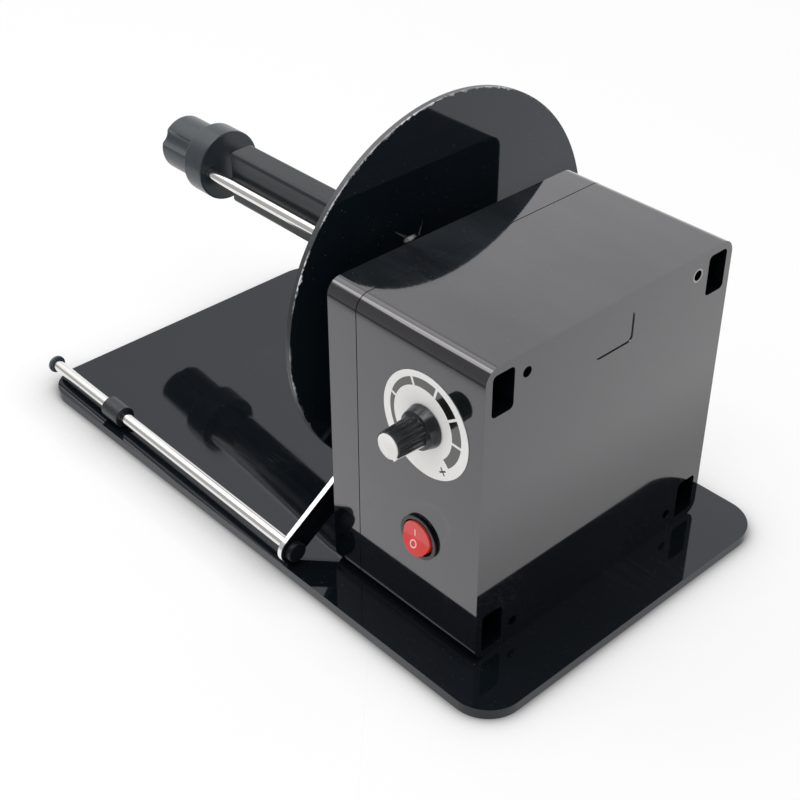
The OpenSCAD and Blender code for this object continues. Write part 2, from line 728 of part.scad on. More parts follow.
module hub_grub() color([0.3, 0.3, 0.31])
    rotate_about_axis(45) cyl_z(1.5, shaft_r + 0.6, hub_r - 1, 0, hub_y0 + hub_t / 2);

module flange_disc() color([0.045, 0.045, 0.05]) difference() {
    cyl_y(disc_r, disc_y0, disc_y1, 0, axis_z);
    cyl_y(shaft_r + 0.1, disc_y0 - eps, disc_y1 + eps, 0, axis_z);
    for (k = [-1, 1]) {
        cyl_y(core_screw_r + 0.2, disc_y0 - eps, disc_y1 + eps, 0, axis_z + k * core_screw_z);
        cyl_y(rod_r + run_gap, disc_y0 - eps, disc_y1 + eps, k * rod_offset, axis_z);
    }
}

module core_bar() color([0.07, 0.07, 0.075]) difference() {
    prism_y(disc_y1, bar_y1) translate([0, axis_z]) rounded_rect(bar_w, bar_h, bar_edge_r);
    cyl_y(shaft_r + fix_gap, disc_y1 - eps, shaft_y1 + 1, 0, axis_z);
    for (k = [-1, 1])
        cyl_y(core_screw_r + fix_gap, disc_y1 - eps, core_screw_y1 + 1, 0, axis_z + k * core_screw_z);
}

module core_screws() color([0.5, 0.5, 0.52])
    for (k = [-1, 1]) {
        cyl_y(core_screw_r, hub_y0 + 1, core_screw_y1, 0, axis_z + k * core_screw_z);
        cone_y(3.7, core_screw_r, hub_y0 + 0.3, hub_y0 + 2.2, 0, axis_z + k * core_screw_z);
    }

module clamp_rods() color([0.85, 0.85, 0.86])
    for (k = [-1, 1]) cyl_y(rod_r, rod_y0, rod_y1, k * rod_offset, axis_z);

module end_collar() color([0.06, 0.06, 0.065]) difference() {
    translate([0, collar_y0, axis_z]) rotate([-90, 0, 0]) soft_disc(collar_r, collar_t, 0.8);
    for (k = [-1, 1]) cyl_y(rod_r + fix_gap, collar_y0 - eps, rod_y1 + 0.2, k * rod_offset, axis_z);
    cyl_y(pull_screw_r + fix_gap, collar_y0 + 3, collar_y1 + eps, 0, axis_z);
}

module pull_knob() color([0.05, 0.05, 0.055]) difference() {
    translate([0, collar_y1, axis_z]) rotate([-90, 0, 0]) soft_disc(pull_r, pull_l, 2.2);
    for (a = [30, 150, 270])
        cyl_y(flute_r, collar_y1 - eps, pull_y1 + eps, flute_at * cos(a), axis_z + flute_at * sin(a));
    cyl_y(pull_screw_r + 0.3, collar_y1 - eps, pull_y1 + eps, 0, axis_z);
    cyl_y(5, pull_y1 - 6, pull_y1 + eps, 0, axis_z);
}

module pull_screw() color([0.5, 0.5, 0.52]) difference() {
    union() {
        cyl_y(pull_screw_r, collar_y0 + 4, pull_y1 - 5, 0, axis_z);
        cyl_y(4.5, pull_y1 - 6, pull_y1 - 2, 0, axis_z);
    }
    hex_y(2.3, pull_y1 - 4.2, pull_y1, 0, axis_z);
}

module idler_gear() color([0.7, 0.6, 0.35]) difference() {
    union() {
        prism_y(big_gear_y0, big_gear_y1) translate([0, idler_z]) gear_outline(idler_big_n, gear_m, 0.2);
        prism_y(big_gear_y1 - 1, out_gear_y1) translate([0, idler_z]) rotate(180 / idler_small_n)
            gear_outline(idler_small_n, gear_m, 0.2);
        cyl_y(1.9, gearbox_y0 + gearbox_wall + 0.6, big_gear_y0 + 1, 0, idler_z);
        cyl_y(1.9, out_gear_y1 - 1, front_y0 - free_gap, 0, idler_z);
    }
    cyl_y(idler_pin_r + run_gap, gearbox_y0, front_y0 + eps, 0, idler_z);
}

module rotor_core() color([0.45, 0.36, 0.28]) {
    cyl_y(rotor_r, rotor_y0, rotor_y1, 0, motor_z);
    cyl_y(3.5, motor_y0 + 2.6, rotor_y0 + 1, 0, motor_z);
    cyl_y(motor_shaft_r, motor_y0 - motor_end_t - 3, big_gear_y1, 0, motor_z);
}

module motor_pinion() color([0.72, 0.6, 0.35]) prism_y(big_gear_y0 - 0.5, big_gear_y1) translate([0, motor_z])
    difference() {
        gear_outline(pinion_n, gear_m, 0.2);
        circle(r = motor_shaft_r + fix_gap);
    }

module arm_plate() color([0.05, 0.05, 0.055]) difference() {
    translate([guide_x, 0, guide_z]) rotate([0, -arm_angle, 0]) {
        box([0, arm_y0, -arm_w / 2], [arm_l, arm_y1, arm_w / 2]);
        cyl_y(arm_w / 2, arm_y0, arm_y1);
        cyl_y(arm_w / 2, arm_y0, arm_y1, arm_l);
    }
    cyl_y(axle_r + axle_play, arm_y0 - eps, arm_y1 + eps, guide_x, guide_z);
    cyl_y(pivot_r + fix_gap, arm_y0 - eps, arm_y1 + eps, pivot_x, pivot_z);
}

module pivot_shaft() color([0.72, 0.72, 0.74]) difference() {
    cyl_y(pivot_r, pivot_y0, arm_y1 - 0.1, pivot_x, pivot_z);
    cyl_y(1.5 + fix_gap, arm_y1 - 9, arm_y1, pivot_x, pivot_z);
}

module pivot_screw() color([0.5, 0.5, 0.52]) difference() {
    union() {
        cyl_y(1.5, arm_y1 - 8, arm_y1 + 0.5, pivot_x, pivot_z);
        cyl_y(pivot_head_r, arm_y1, arm_y1 + pivot_head_t, pivot_x, pivot_z);
    }
    box([pivot_x - 3.4, arm_y1 + 0.9, pivot_z - 0.5], [pivot_x + 3.4, arm_y1 + 3, pivot_z + 0.5]);
    box([pivot_x - 0.5, arm_y1 + 0.9, pivot_z - 3.4], [pivot_x + 0.5, arm_y1 + 3, pivot_z + 3.4]);
}

module switch_cam() color([0.7, 0.7, 0.72]) difference() {
    union() {
        cyl_y(cam_r, cam_hub_y0, cam_y1, pivot_x, pivot_z);
        cyl_y(cam_neck_r, cam_y0, cam_y1, pivot_x, pivot_z);
        prism_y(cam_y0, cam_y0 + finger_t) {
            translate([pivot_x, pivot_z - finger_r]) square([finger_at, 2 * finger_r]);
            translate([pivot_x + finger_at, pivot_z]) circle(r = finger_r);
        }
    }
    cyl_y(pivot_r + fix_gap, cam_y0 - eps, cam_y1 + eps, pivot_x, pivot_z);
    cyl_z(1 + fix_gap, pivot_z + pivot_r - 0.3, pivot_z + cam_r + eps, pivot_x, cam_grub_y);
}

module cam_grub() color([0.3, 0.3, 0.31])
    cyl_z(1, pivot_z + pivot_r + 0.1, pivot_z + cam_r - 0.2, pivot_x, cam_grub_y);

module guide_axle() color([0.6, 0.6, 0.62])
    guide_frame() cyl_y(axle_r, -arm_t - 2, guide_l + flange_t);

module axle_head() color([0.05, 0.05, 0.055]) guide_frame() difference() {
    translate([0, -arm_t - axle_seat, 0]) rotate([90, 0, 0]) soft_disc(axle_head_r, axle_head_t, 0.6);
    cyl_y(axle_r + fix_gap, -arm_t - 2 - fix_gap, 0);
}

module end_flange() color([0.1, 0.1, 0.1]) guide_frame() difference() {
    cyl_y(flange_r, guide_l, guide_l + flange_t);
    cyl_y(axle_r + fix_gap, guide_l - eps, guide_l + flange_t + eps);
}

module guide_roller() color([0.86, 0.86, 0.87]) guide_frame() difference() {
    cyl_y(roller_r, free_gap, guide_l - free_gap);
    cyl_y(axle_r + run_gap, -eps, guide_l + eps);
}

module stop_ring() color([0.06, 0.06, 0.065]) guide_frame() difference() {
    translate([0, ring_at, 0]) rotate([-90, 0, 0]) soft_disc(ring_r, ring_l, 0.5);
    cyl_y(roller_r + run_gap, ring_at - eps, ring_at + ring_l + eps);
}

module speed_knob() color([0.05, 0.05, 0.055]) difference() {
    translate([knob_x0, dial_y, dial_z]) rotate([0, -90, 0]) difference() {
        rotate_extrude() polygon([[0, 0], [skirt_r, 0], [skirt_top_r, knob_x0 - knob_waist_x],
            [grip_r, knob_x0 - knob_waist_x + 0.6], [grip_end_r, knob_x0 - knob_x1], [0, knob_x0 - knob_x1]]);
        for (a = [0 : 20 : 340])
            rotate([0, 0, a]) translate([grip_r + 0.62, 0, knob_x0 - knob_waist_x + 1])
                rotate([0, -2.6, 0]) cylinder(h = knob_l, r = 0.75, $fn = 24);
    }
    cyl_x(pot_nut_r + 0.5, knob_x0 - pot_nut_t, knob_x0 + eps, dial_y, dial_z);
    cyl_x(pot_bush_r + 0.5, pot_bush_x - free_gap - 0.1, knob_x0 + eps, dial_y, dial_z);
    cyl_x(pot_shaft_r + fix_gap, pot_shaft_x - 0.2, knob_x0 + eps, dial_y, dial_z);
    cyl_x(cap_r - 0.6 + fix_gap, knob_x1 - eps, knob_x1 + 0.8, dial_y, dial_z);
}

module knob_cap() color([0.92, 0.92, 0.9]) {
    cyl_x(cap_r - 0.6, knob_x1 - 0.3, knob_x1 + 0.8, dial_y, dial_z);
    translate([knob_x1, dial_y, dial_z]) rotate([0, -90, 0]) rotate_extrude() intersection() {
        translate([0, cap_t - 16]) circle(r = 16, $fn = 96);
        square([cap_r, cap_t]);
    }
    box([knob_x1 - 0.9, dial_y - 1.2, dial_z - grip_end_r], [knob_x1, dial_y + 1.2, dial_z]);
}

module pot_shaft() color([0.75, 0.75, 0.76])
    cyl_x(pot_shaft_r, pot_shaft_x, dial_x + wall + pot_l - 2, dial_y, dial_z);

module rocker_button() color([0.78, 0.08, 0.07]) translate([rocker_x, rocker_cy, rocker_cz]) rotate([0, rocker_tilt, 0]) {
    edge = 2.9 + rocker_r * tan(rocker_tilt);
    intersection() {
        cyl_x(rocker_r, -8, 4);
        prism_y(-9, 9)
            polygon([[-2.9, 0], [-edge, rocker_r], [-edge, rocker_r + 1], [3, rocker_r + 1],
                [3, -rocker_r - 1], [-edge, -rocker_r - 1], [-edge, -rocker_r]]);
    }
    cyl_y(trunnion_r, -rocker_well_r - trunnion_l + 0.3, rocker_well_r + trunnion_l - 0.3);
}

module switch_lever() color([0.75, 0.75, 0.76]) {
    cyl_y(lever_pin_r, lever_y - lever_w / 2, lever_y + lever_w / 2, lever_x, lever_z);
    box([lever_x - lever_l + lever_tongue_l, lever_y - lever_w / 2, lever_top - lever_t],
        [lever_x - 2.2, lever_y + lever_w / 2, lever_top]);
    box([lever_x - lever_l, lever_y - lever_tongue_w / 2, lever_top - lever_t],
        [lever_x - lever_l + lever_tongue_l + 1, lever_y + lever_tongue_w / 2, lever_top]);
    for (k = [-1, 1])
        box([lever_x - 3, lever_y + k * 2 - 0.5, lever_top - 1.5],
            [lever_x + 0.7, lever_y + k * 2 + 0.5, lever_top]);
}

base_plate();
base_screws();
base_nuts();
main_shell();
cover_shell();
cover_screws();
at_axis() gearbox_front();
at_axis() gearbox_case();
at_axis() gearbox_screws();
at_axis() idler_pin();
at_axis() motor_can();
at_axis() motor_magnets();
at_axis() motor_end();
dial_scale();
pot_body();
pot_nut();
rocker_housing();
rocker_terminals();
power_socket();
socket_nut();
control_board();
board_screws();
board_capacitor();
heat_sink();
switch_body();
switch_screws();
pivot_bush();
bush_nut();
arm_stop();
at_axis() output_shaft();
at_axis() output_gear();
at_axis() drive_hub();
at_axis() hub_grub();
at_axis() flange_disc();
at_axis() core_bar();
at_axis() core_screws();
at_axis() clamp_rods();
at_axis() end_collar();
at_axis() pull_knob();
at_axis() pull_screw();
at_axis() idler_gear();
at_axis() rotor_core();
at_axis() motor_pinion();
arm_plate();
pivot_shaft();
pivot_screw();
switch_cam();
cam_grub();
guide_axle();
axle_head();
end_flange();
guide_roller();
stop_ring();
speed_knob();
knob_cap();
pot_shaft();
rocker_button();
switch_lever();
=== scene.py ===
"""Looks of a label rewinder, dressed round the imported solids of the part.

Metres, in the part's own frame: +Z up, +Y along the spindle, Z = 0 under the base plate. The
sub-assemblies hold the sizes of their edges and seams in millimetres.
"""

import logging
import math
from dataclasses import dataclass
from enum import Enum
from typing import Optional, Union

import bmesh
import bpy
from mathutils import Matrix, Vector


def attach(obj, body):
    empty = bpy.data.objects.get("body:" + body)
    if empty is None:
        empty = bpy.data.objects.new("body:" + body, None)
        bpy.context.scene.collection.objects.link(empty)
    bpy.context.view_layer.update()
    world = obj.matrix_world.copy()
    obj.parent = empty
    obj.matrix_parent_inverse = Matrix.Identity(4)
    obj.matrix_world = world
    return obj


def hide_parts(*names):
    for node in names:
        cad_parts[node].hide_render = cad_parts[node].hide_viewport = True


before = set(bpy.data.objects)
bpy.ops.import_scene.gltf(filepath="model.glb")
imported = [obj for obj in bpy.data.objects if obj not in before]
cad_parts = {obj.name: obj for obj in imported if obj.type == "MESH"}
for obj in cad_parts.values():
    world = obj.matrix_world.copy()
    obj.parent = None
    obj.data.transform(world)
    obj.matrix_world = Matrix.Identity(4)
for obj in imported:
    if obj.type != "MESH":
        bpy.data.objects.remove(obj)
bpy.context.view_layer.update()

LOG = logging.getLogger("rewinder")
MM = 0.001
FULL_TURN = 2 * math.pi
SHARP = math.radians(32)
FLAT = math.radians(0.3)
MERGE = 0.000002
PLANE_SLACK = 0.00008
EDGE_STEPS = 2
FINE_STEPS = 3
ROUND = 0.5
FLAT_WEIGHT = 100
MIDDLE = 0.5
MIX_FIRST, MIX_SECOND, MIX_RESULT = 6, 7, 2

Colour = tuple[float, float, float, float]
Spot = tuple[float, float]
Triple = tuple[float, float, float]


class Body(Enum):
    """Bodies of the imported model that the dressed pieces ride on."""

    BASE = "base"
    SPINDLE = "spindle"
    CLIP = "clip"
    ARM = "arm"
    ROLLER = "roller"
    RING = "ring"
    KNOB = "knob"
    ROCKER = "rocker"


class Slot(Enum):
    """The record's material slots that the dressed pieces belong to."""

    ACRYLIC = "acrylic_black"
    CASE = "case_black"
    BAR = "black_bar"
    CHROME = "chrome"
    SATIN = "satin_black"
    WHITE = "white_plastic"
    FITTING = "fitting_black"
    RED = "red_plastic"


class Wire:
    """A value in a node tree that takes part in plain arithmetic."""

    def __init__(self, paint: "Paint", socket: bpy.types.NodeSocket) -> None:
        """Keeps the tree and the socket that carries the value."""
        self.paint = paint
        self.socket = socket

    def _math(self, operation: str, *values: "Number") -> "Wire":
        """Adds one Math node.

        Args:
            operation: Blender's name of the operation.
            values: The operands in order.

        Returns:
            The node's result.
        """
        node = self.paint.node("ShaderNodeMath", {"operation": operation}, dict(enumerate(values)))
        return Wire(self.paint, node.outputs[0])

    def __add__(self, other: "Number") -> "Wire":
        """Sum."""
        return self._math("ADD", self, other)

    __radd__ = __add__

    def __sub__(self, other: "Number") -> "Wire":
        """Difference."""
        return self._math("SUBTRACT", self, other)

    def __rsub__(self, other: "Number") -> "Wire":
        """Difference with the plain number first."""
        return self._math("SUBTRACT", other, self)

    def __mul__(self, other: "Number") -> "Wire":
        """Product."""
        return self._math("MULTIPLY", self, other)

    __rmul__ = __mul__

    def __truediv__(self, other: "Number") -> "Wire":
        """Quotient."""
        return self._math("DIVIDE", self, other)

    def __rtruediv__(self, other: "Number") -> "Wire":
        """Quotient with the plain number first."""
        return self._math("DIVIDE", other, self)

    def __gt__(self, other: "Number") -> "Wire":
        """1 where this is the greater, else 0."""
        return self._math("GREATER_THAN", self, other)

    def __lt__(self, other: "Number") -> "Wire":
        """1 where this is the smaller, else 0."""
        return self._math("LESS_THAN", self, other)

    def __abs__(self) -> "Wire":
        """Size without the sign."""
        return self._math("ABSOLUTE", self)

    def least(self, other: "Number") -> "Wire":
        """The smaller of two values."""
        return self._math("MINIMUM", self, other)

    def most(self, other: "Number") -> "Wire":
        """The larger of two values."""
        return self._math("MAXIMUM", self, other)

    def root(self) -> "Wire":
        """Square root."""
        return self._math("SQRT", self)

    def angle_to(self, across: "Wire") -> "Wire":
        """Angle of the point (across, self), in radians."""
        return self._math("ARCTAN2", self, across)

    def wrapped(self, low: float, high: float) -> "Wire":
        """Value wrapped into a range."""
        return self._math("WRAP", self, high, low)

    def step(self, low: float, high: float) -> "Wire":
        """Smooth rise.

        Args:
            low: Value that gives 0.
            high: Value that gives 1.

        Returns:
            The eased value.
        """
        settings = {"interpolation_type": "SMOOTHSTEP"}
        sockets = {"Value": self, "From Min": low, "From Max": high}
        return Wire(self.paint, self.paint.node("ShaderNodeMapRange", settings, sockets).outputs[0])

    def outside(self, low: float, high: float) -> "Wire":
        """Smooth fall from 1 at low to 0 at high."""
        return 1 - self.step(low, high)


Number = Union[float, Wire]
Place = tuple[Wire, Wire]


class Paint:
    """A node tree under construction, of a surface or of the world."""

    material: bpy.types.Material
    shader: bpy.types.Node
    output: bpy.types.Node
    place: bpy.types.NodeSocket

    def __init__(self, tree: bpy.types.NodeTree) -> None:
        """Empties the tree."""
        self.tree = tree
        self.tree.nodes.clear()

    @classmethod
    def of_surface(cls, name: str) -> "Paint":
        """Starts a new material.

        Args:
            name: Name of the material.

        Returns:
            Its tree, with a Principled shader linked to the output.
        """
        material = bpy.data.materials.new(name)
        material.use_nodes = True
        made = cls(material.node_tree)
        made.material = material
        made.shader = made.node("ShaderNodeBsdfPrincipled")
        made.output = made.node("ShaderNodeOutputMaterial", {}, {"Surface": made.shader.outputs["BSDF"]})
        made.place = made.node("ShaderNodeTexCoord").outputs["Object"]
        return made

    def node(self, kind: str, settings: Optional[dict] = None,
             sockets: Optional[dict] = None) -> bpy.types.Node:
        """Adds a node.

        Args:
            kind: Blender's type name.
            settings: Attributes of the node, which are set first.
            sockets: Values or links by the input's name or number.

        Returns:
            The new node.
        """
        made = self.tree.nodes.new(kind)
        for key, value in (settings or {}).items():
            setattr(made, key, value)
        for key, value in (sockets or {}).items():
            self.feed(made, key, value)
        return made

    def feed(self, made: bpy.types.Node, key: Union[str, int], value: object) -> None:
        """Links or sets one input of a node."""
        if isinstance(value, Wire):
            self.tree.links.new(value.socket, made.inputs[key])
        elif isinstance(value, bpy.types.NodeSocket):
            self.tree.links.new(value, made.inputs[key])
        else:
            made.inputs[key].default_value = value

    def set(self, **sockets: object) -> None:
        """Sets or links inputs of the shader, with _ for a space in their names."""
        for key, value in sockets.items():
            self.feed(self.shader, key.replace("_", " "), value)

    def linked(self, key: str) -> Wire:
        """What feeds an input of the shader now, so that more can be laid over it."""
        return Wire(self, self.shader.inputs[key].links[0].from_socket)

    def split(self, vector: bpy.types.NodeSocket) -> tuple[Wire, Wire, Wire]:
        """The three parts of a vector."""
        parts = self.node("ShaderNodeSeparateXYZ", {}, {0: vector})
        return tuple(Wire(self, out) for out in parts.outputs)

    def xyz(self) -> tuple[Wire, Wire, Wire]:
        """Place of the shaded point, in metres."""
        return self.split(self.place)

    def stretched(self, scale: Triple, turn: Triple = (0, 0, 0)) -> bpy.types.NodeSocket:
        """Object coordinates turned and stretched for a pattern."""
        sockets = {"Vector": self.place, "Rotation": turn, "Scale": scale}
        return self.node("ShaderNodeMapping", {}, sockets).outputs[0]

    @staticmethod
    def away(place: Place, point: Spot) -> Wire:
        """Distance from a point, in two coordinates."""
        first, second = place[0] - point[0], place[1] - point[1]
        return (first * first + second * second).root()

    @staticmethod
    def along(place: Place, degrees: float) -> Place:
        """Coordinates along and across a direction that is turned from the first axis to the second."""
        cos, sin = math.cos(math.radians(degrees)), math.sin(math.radians(degrees))
        return place[0] * cos + place[1] * sin, place[1] * cos - place[0] * sin

    def mix(self, factor: Number, first: object, second: object) -> bpy.types.NodeSocket:
        """Mixes two colours.

        Args:
            factor: 0 gives the first, 1 the second.
            first: Colour or link.
            second: Colour or link.

        Returns:
            The mixed colour.
        """
        sockets = {0: factor, MIX_FIRST: first, MIX_SECOND: second}
        return self.node("ShaderNodeMix", {"data_type": "RGBA"}, sockets).outputs[MIX_RESULT]

    def bump(self, height: Wire, depth: float) -> None:
        """Gives the shader a bumped normal from a height in units of depth."""
        sockets = {"Height": height, "Distance": depth, "Strength": 1.0}
        self.set(Normal=self.node("ShaderNodeBump", {}, sockets).outputs[0])


@dataclass(frozen=True)
class Cloud:
    """Cloudy noise, plain or cut to a mask between two of its levels."""

    scale: float
    detail: float = 2
    rough: float = 0.5
    low: float = 0.0
    high: float = 1.0

    def noise(self, paint: Paint, place: Optional[bpy.types.NodeSocket] = None) -> Wire:
        """Adds the noise.

        Args:
            paint: Tree to add it to.
            place: Coordinates to use in place of the plain ones.

        Returns:
            A value about 0.5.
        """
        sockets = {"Vector": place or paint.place, "Scale": self.scale,
                   "Detail": self.detail, "Roughness": self.rough}
        return Wire(paint, paint.node("ShaderNodeTexNoise", {}, sockets).outputs[0])

    def mask(self, paint: Paint, place: Optional[bpy.types.NodeSocket] = None) -> Wire:
        """0 under the low level, 1 over the high one."""
        return self.noise(paint, place).step(self.low, self.high)


@dataclass(frozen=True)
class Specks:
    """Scattered round specks: cells per metre, size in a cell, and the share of cells that carry one."""

    scale: float
    radius: float
    share: float

    def mask(self, paint: Paint) -> Wire:
        """1 on a speck, else 0."""
        cells = paint.node("ShaderNodeTexVoronoi", {}, {"Vector": paint.place, "Scale": self.scale})
        pick = paint.node("ShaderNodeSeparateColor", {}, {0: cells.outputs["Color"]})
        near = Wire(paint, cells.outputs["Distance"]) < self.radius
        return near * (Wire(paint, pick.outputs[0]) < self.share)


@dataclass(frozen=True)
class Scratches:
    """Fine straight scratches: how many per metre, how drawn out, which way, and how wide."""

    scale: float
    long: float
    turn: Triple
    width: float
    detail: float = 1
    rough: float = 0.4

    def mask(self, paint: Paint) -> Wire:
        """Up to 1 on a scratch."""
        place = paint.stretched((1, 1 / self.long, 1 / self.long), self.turn)
        lines = Cloud(self.scale, self.detail, self.rough).noise(paint, place)
        return abs(lines - MIDDLE).outside(0, self.width)


@dataclass(frozen=True)
class Streak:
    """Soft line between two points that thins out to its end; the width is half of that at the start."""

    start: Spot
    end: Spot
    width: float = 0.0009
    core: float = 0.3
    blunt: float = 1.05

    def mask(self, place: Place, origin: Spot) -> Wire:
        """Draws the line.

        Args:
            place: The two coordinates of the shaded point.
            origin: Point that the start and the end count from.

        Returns:
            1 on the line, 0 away from it.
        """
        run = (self.end[0] - self.start[0], self.end[1] - self.start[1])
        size = run[0] ** 2 + run[1] ** 2
        off = (place[0] - (origin[0] + self.start[0]), place[1] - (origin[1] + self.start[1]))
        share = (off[0] * (run[0] / size) + off[1] * (run[1] / size)).least(1.0).most(0.0)
        side = (off[0] - share * run[0], off[1] - share * run[1])
        away = (side[0] * side[0] + side[1] * side[1]).root() / (self.blunt - share)
        return away.outside(self.width * self.core, self.width)


def grey(level: float, warm: float = 0.0) -> Colour:
    """Opaque grey, a little warmer or cooler."""
    return (level * (1 + warm), level, level * (1 - warm), 1.0)


def shaded(colour: Colour, share: float) -> Colour:
    """The same opaque colour, darker."""
    return tuple(part * share for part in colour[:3]) + (1.0,)


PLAIN = (1.0, 1.0, 1.0, 1.0)
VIOLET = (1.0, 0.92, 1.0, 1.0)
BLUE = (0.90, 0.91, 1.0, 1.0)


@dataclass(frozen=True)
class Finish:
    """A surface finish that makes its material once."""

    name: str

    def material(self) -> bpy.types.Material:
        """The material, made on its first use."""
        known = bpy.data.materials.get(self.name)
        if known is None:
            known = self.paint().material
        return known

    def paint(self) -> Paint:
        """Builds the node tree."""
        raise NotImplementedError


@dataclass(frozen=True)
class WornBlack(Finish):
    """Polished black with waves, hair scratches and dust."""

    base: float = 0.005
    cool: float = -0.35
    reflect: float = 0.5
    tint: Colour = PLAIN
    wave: float = 0.00002
    swell: Cloud = Cloud(24, 2, 0.4)
    hair: Scratches = Scratches(900, 60, (0.3, 0.5, 0.6), 0.012)
    cross: Scratches = Scratches(700, 80, (1.1, -0.4, 2.0), 0.010)
    worn: Cloud = Cloud(14, low=0.45, high=0.7)
    mark_grey: float = 0.16
    mark_show: float = 0.10
    mark_rough: float = 0.1
    dust: Specks = Specks(900, 0.10, 0.10)
    lint: Specks = Specks(330, 0.06, 0.08)
    dust_grey: float = 0.30
    dust_show: float = 0.45
    dust_rough: float = 0.3

    def wear(self, paint: Paint) -> tuple[bpy.types.NodeSocket, Wire]:
        """The black with its scratches and dust, and what these add to the roughness."""
        marks = self.hair.mask(paint).most(self.cross.mask(paint)) * self.worn.mask(paint)
        dust = self.dust.mask(paint).most(self.lint.mask(paint))
        body = paint.mix(marks * self.mark_show, grey(self.base, self.cool), grey(self.mark_grey))
        body = paint.mix(dust * self.dust_show, body, grey(self.dust_grey))
        return body, marks * self.mark_rough + dust * self.dust_rough


@dataclass(frozen=True)
class GlossBlack(WornBlack):
    """Polished black plastic with wiping marks."""

    rough: float = 0.05
    coat: float = 0.0
    coat_rough: float = 0.03
    ripple: Cloud = Cloud(95, 1)
    ripple_part: float = 0.12
    smudge: Cloud = Cloud(9, 4, 0.6, 0.42, 0.75)
    smudge_rough: float = 0.05

    def relief(self, paint: Paint) -> Wire:
        """Height of the surface, in units of the wave's depth."""
        return self.swell.noise(paint) + self.ripple.noise(paint) * self.ripple_part

    def paint(self) -> Paint:
        """Builds the node tree."""
        paint = Paint.of_surface(self.name)
        body, worn = self.wear(paint)
        rough = self.smudge.mask(paint) * self.smudge_rough + worn + self.rough
        paint.set(Base_Color=body, Roughness=rough, Specular_IOR_Level=self.reflect,
                  Specular_Tint=self.tint, Coat_Weight=self.coat, Coat_Roughness=self.coat_rough)
        paint.bump(self.relief(paint), self.wave)
        return paint


@dataclass(frozen=True)
class EdgedBlack(GlossBlack):
    """Polished black faces on a sheet whose cut edge is bare and bright."""

    edge: Spot = (-0.0369, -0.0345)
    bare: float = 0.88
    bare_rough: float = 0.12
    drawn: Cloud = Cloud(1800)
    drawn_by: Triple = (1.0, 0.06, 1.0)
    drawn_rough: float = 0.15

    def paint(self) -> Paint:
        """Builds the node tree."""
        paint = super().paint()
        _, y, _ = paint.xyz()
        cut = (y > self.edge[0]) * (y < self.edge[1])
        lines = self.drawn.noise(paint, paint.stretched(self.drawn_by))
        rough = cut * (lines * self.drawn_rough + self.bare_rough) + paint.linked("Roughness")
        body = paint.mix(cut, paint.linked("Base Color"), grey(self.bare))
        paint.set(Base_Color=body, Metallic=cut, Roughness=rough)
        return paint


@dataclass(frozen=True)
class BowedBlack(GlossBlack):
    """Polished black sheet whose top mirrors as if it were bowed a little upwards along +Y."""

    bow: float = 0.52
    flat_to: float = -0.040

    def relief(self, paint: Paint) -> Wire:
        """Height of the surface with its bow, in units of the wave's depth."""
        _, y, _ = paint.xyz()
        past = (y - self.flat_to).most(0)
        return self.swell.noise(paint) + past * past * (self.bow / self.wave)


@dataclass(frozen=True)
class CaseGloss(GlossBlack):
    """Case plastic with a film on top, a painted highlight ring round one rear hole and grit low on the
    rear face.
    """

    rear_y: float = -0.1393
    # Painted highlight: a pale ring round this rear hole stands in for a glint on its edge.
    hole: Spot = (0.0522, 0.1450)
    glint_ring: Spot = (0.0024, 0.0034)
    glint_ring_soft: float = 0.0002
    glint_ring_fade: float = 0.0005
    glint_ring_show: float = 0.7
    patch: Spot = (-0.062, 0.037)
    patch_r: Spot = (0.0044, 0.022)
    grit: Specks = Specks(1900, 0.24, 0.22)
    grains: Specks = Specks(1000, 0.15, 0.16)
    clumps: Cloud = Cloud(160, low=0.35, high=0.6)
    grit_show: float = 0.5
    glint_and_grit_grey: float = 0.42
    glint_and_grit_rough: float = 0.3
    top_z: float = 0.1546
    smear: Cloud = Cloud(30, 3, 0.6, 0.2, 0.8)
    smear_by: Triple = (1.0, 0.35, 1.0)
    smear_turn: Triple = (0, 0, 0.5)
    film: Colour = grey(0.5, -0.15)
    film_show: float = 0.05

    def paint(self) -> Paint:
        """Builds the node tree."""
        paint = super().paint()
        x, y, z = paint.xyz()
        # Painted highlight: a pale ring round the hole, where a glint on its edge would be.
        off = paint.away((x, z), self.hole)
        glint_ring = off.step(self.glint_ring[0] - self.glint_ring_soft, self.glint_ring[0] + self.glint_ring_soft)
        glint_ring = glint_ring * off.outside(self.glint_ring[1] - self.glint_ring_fade, self.glint_ring[1])
        grit = self.grit.mask(paint).most(self.grains.mask(paint)) * self.clumps.mask(paint)
        grit = grit * paint.away((x, z), self.patch).outside(*self.patch_r)
        # pale joins the painted highlight ring with the real grit.
        pale = (glint_ring * self.glint_ring_show).most(grit * self.grit_show) * (y < self.rear_y)
        smear = self.smear.mask(paint, paint.stretched(self.smear_by, self.smear_turn))
        film = smear * (z > self.top_z) * self.film_show
        body = paint.mix(film, paint.linked("Base Color"), self.film)
        paint.set(Base_Color=paint.mix(pale, body, grey(self.glint_and_grit_grey)),
                  Roughness=pale * self.glint_and_grit_rough + paint.linked("Roughness"))
        return paint


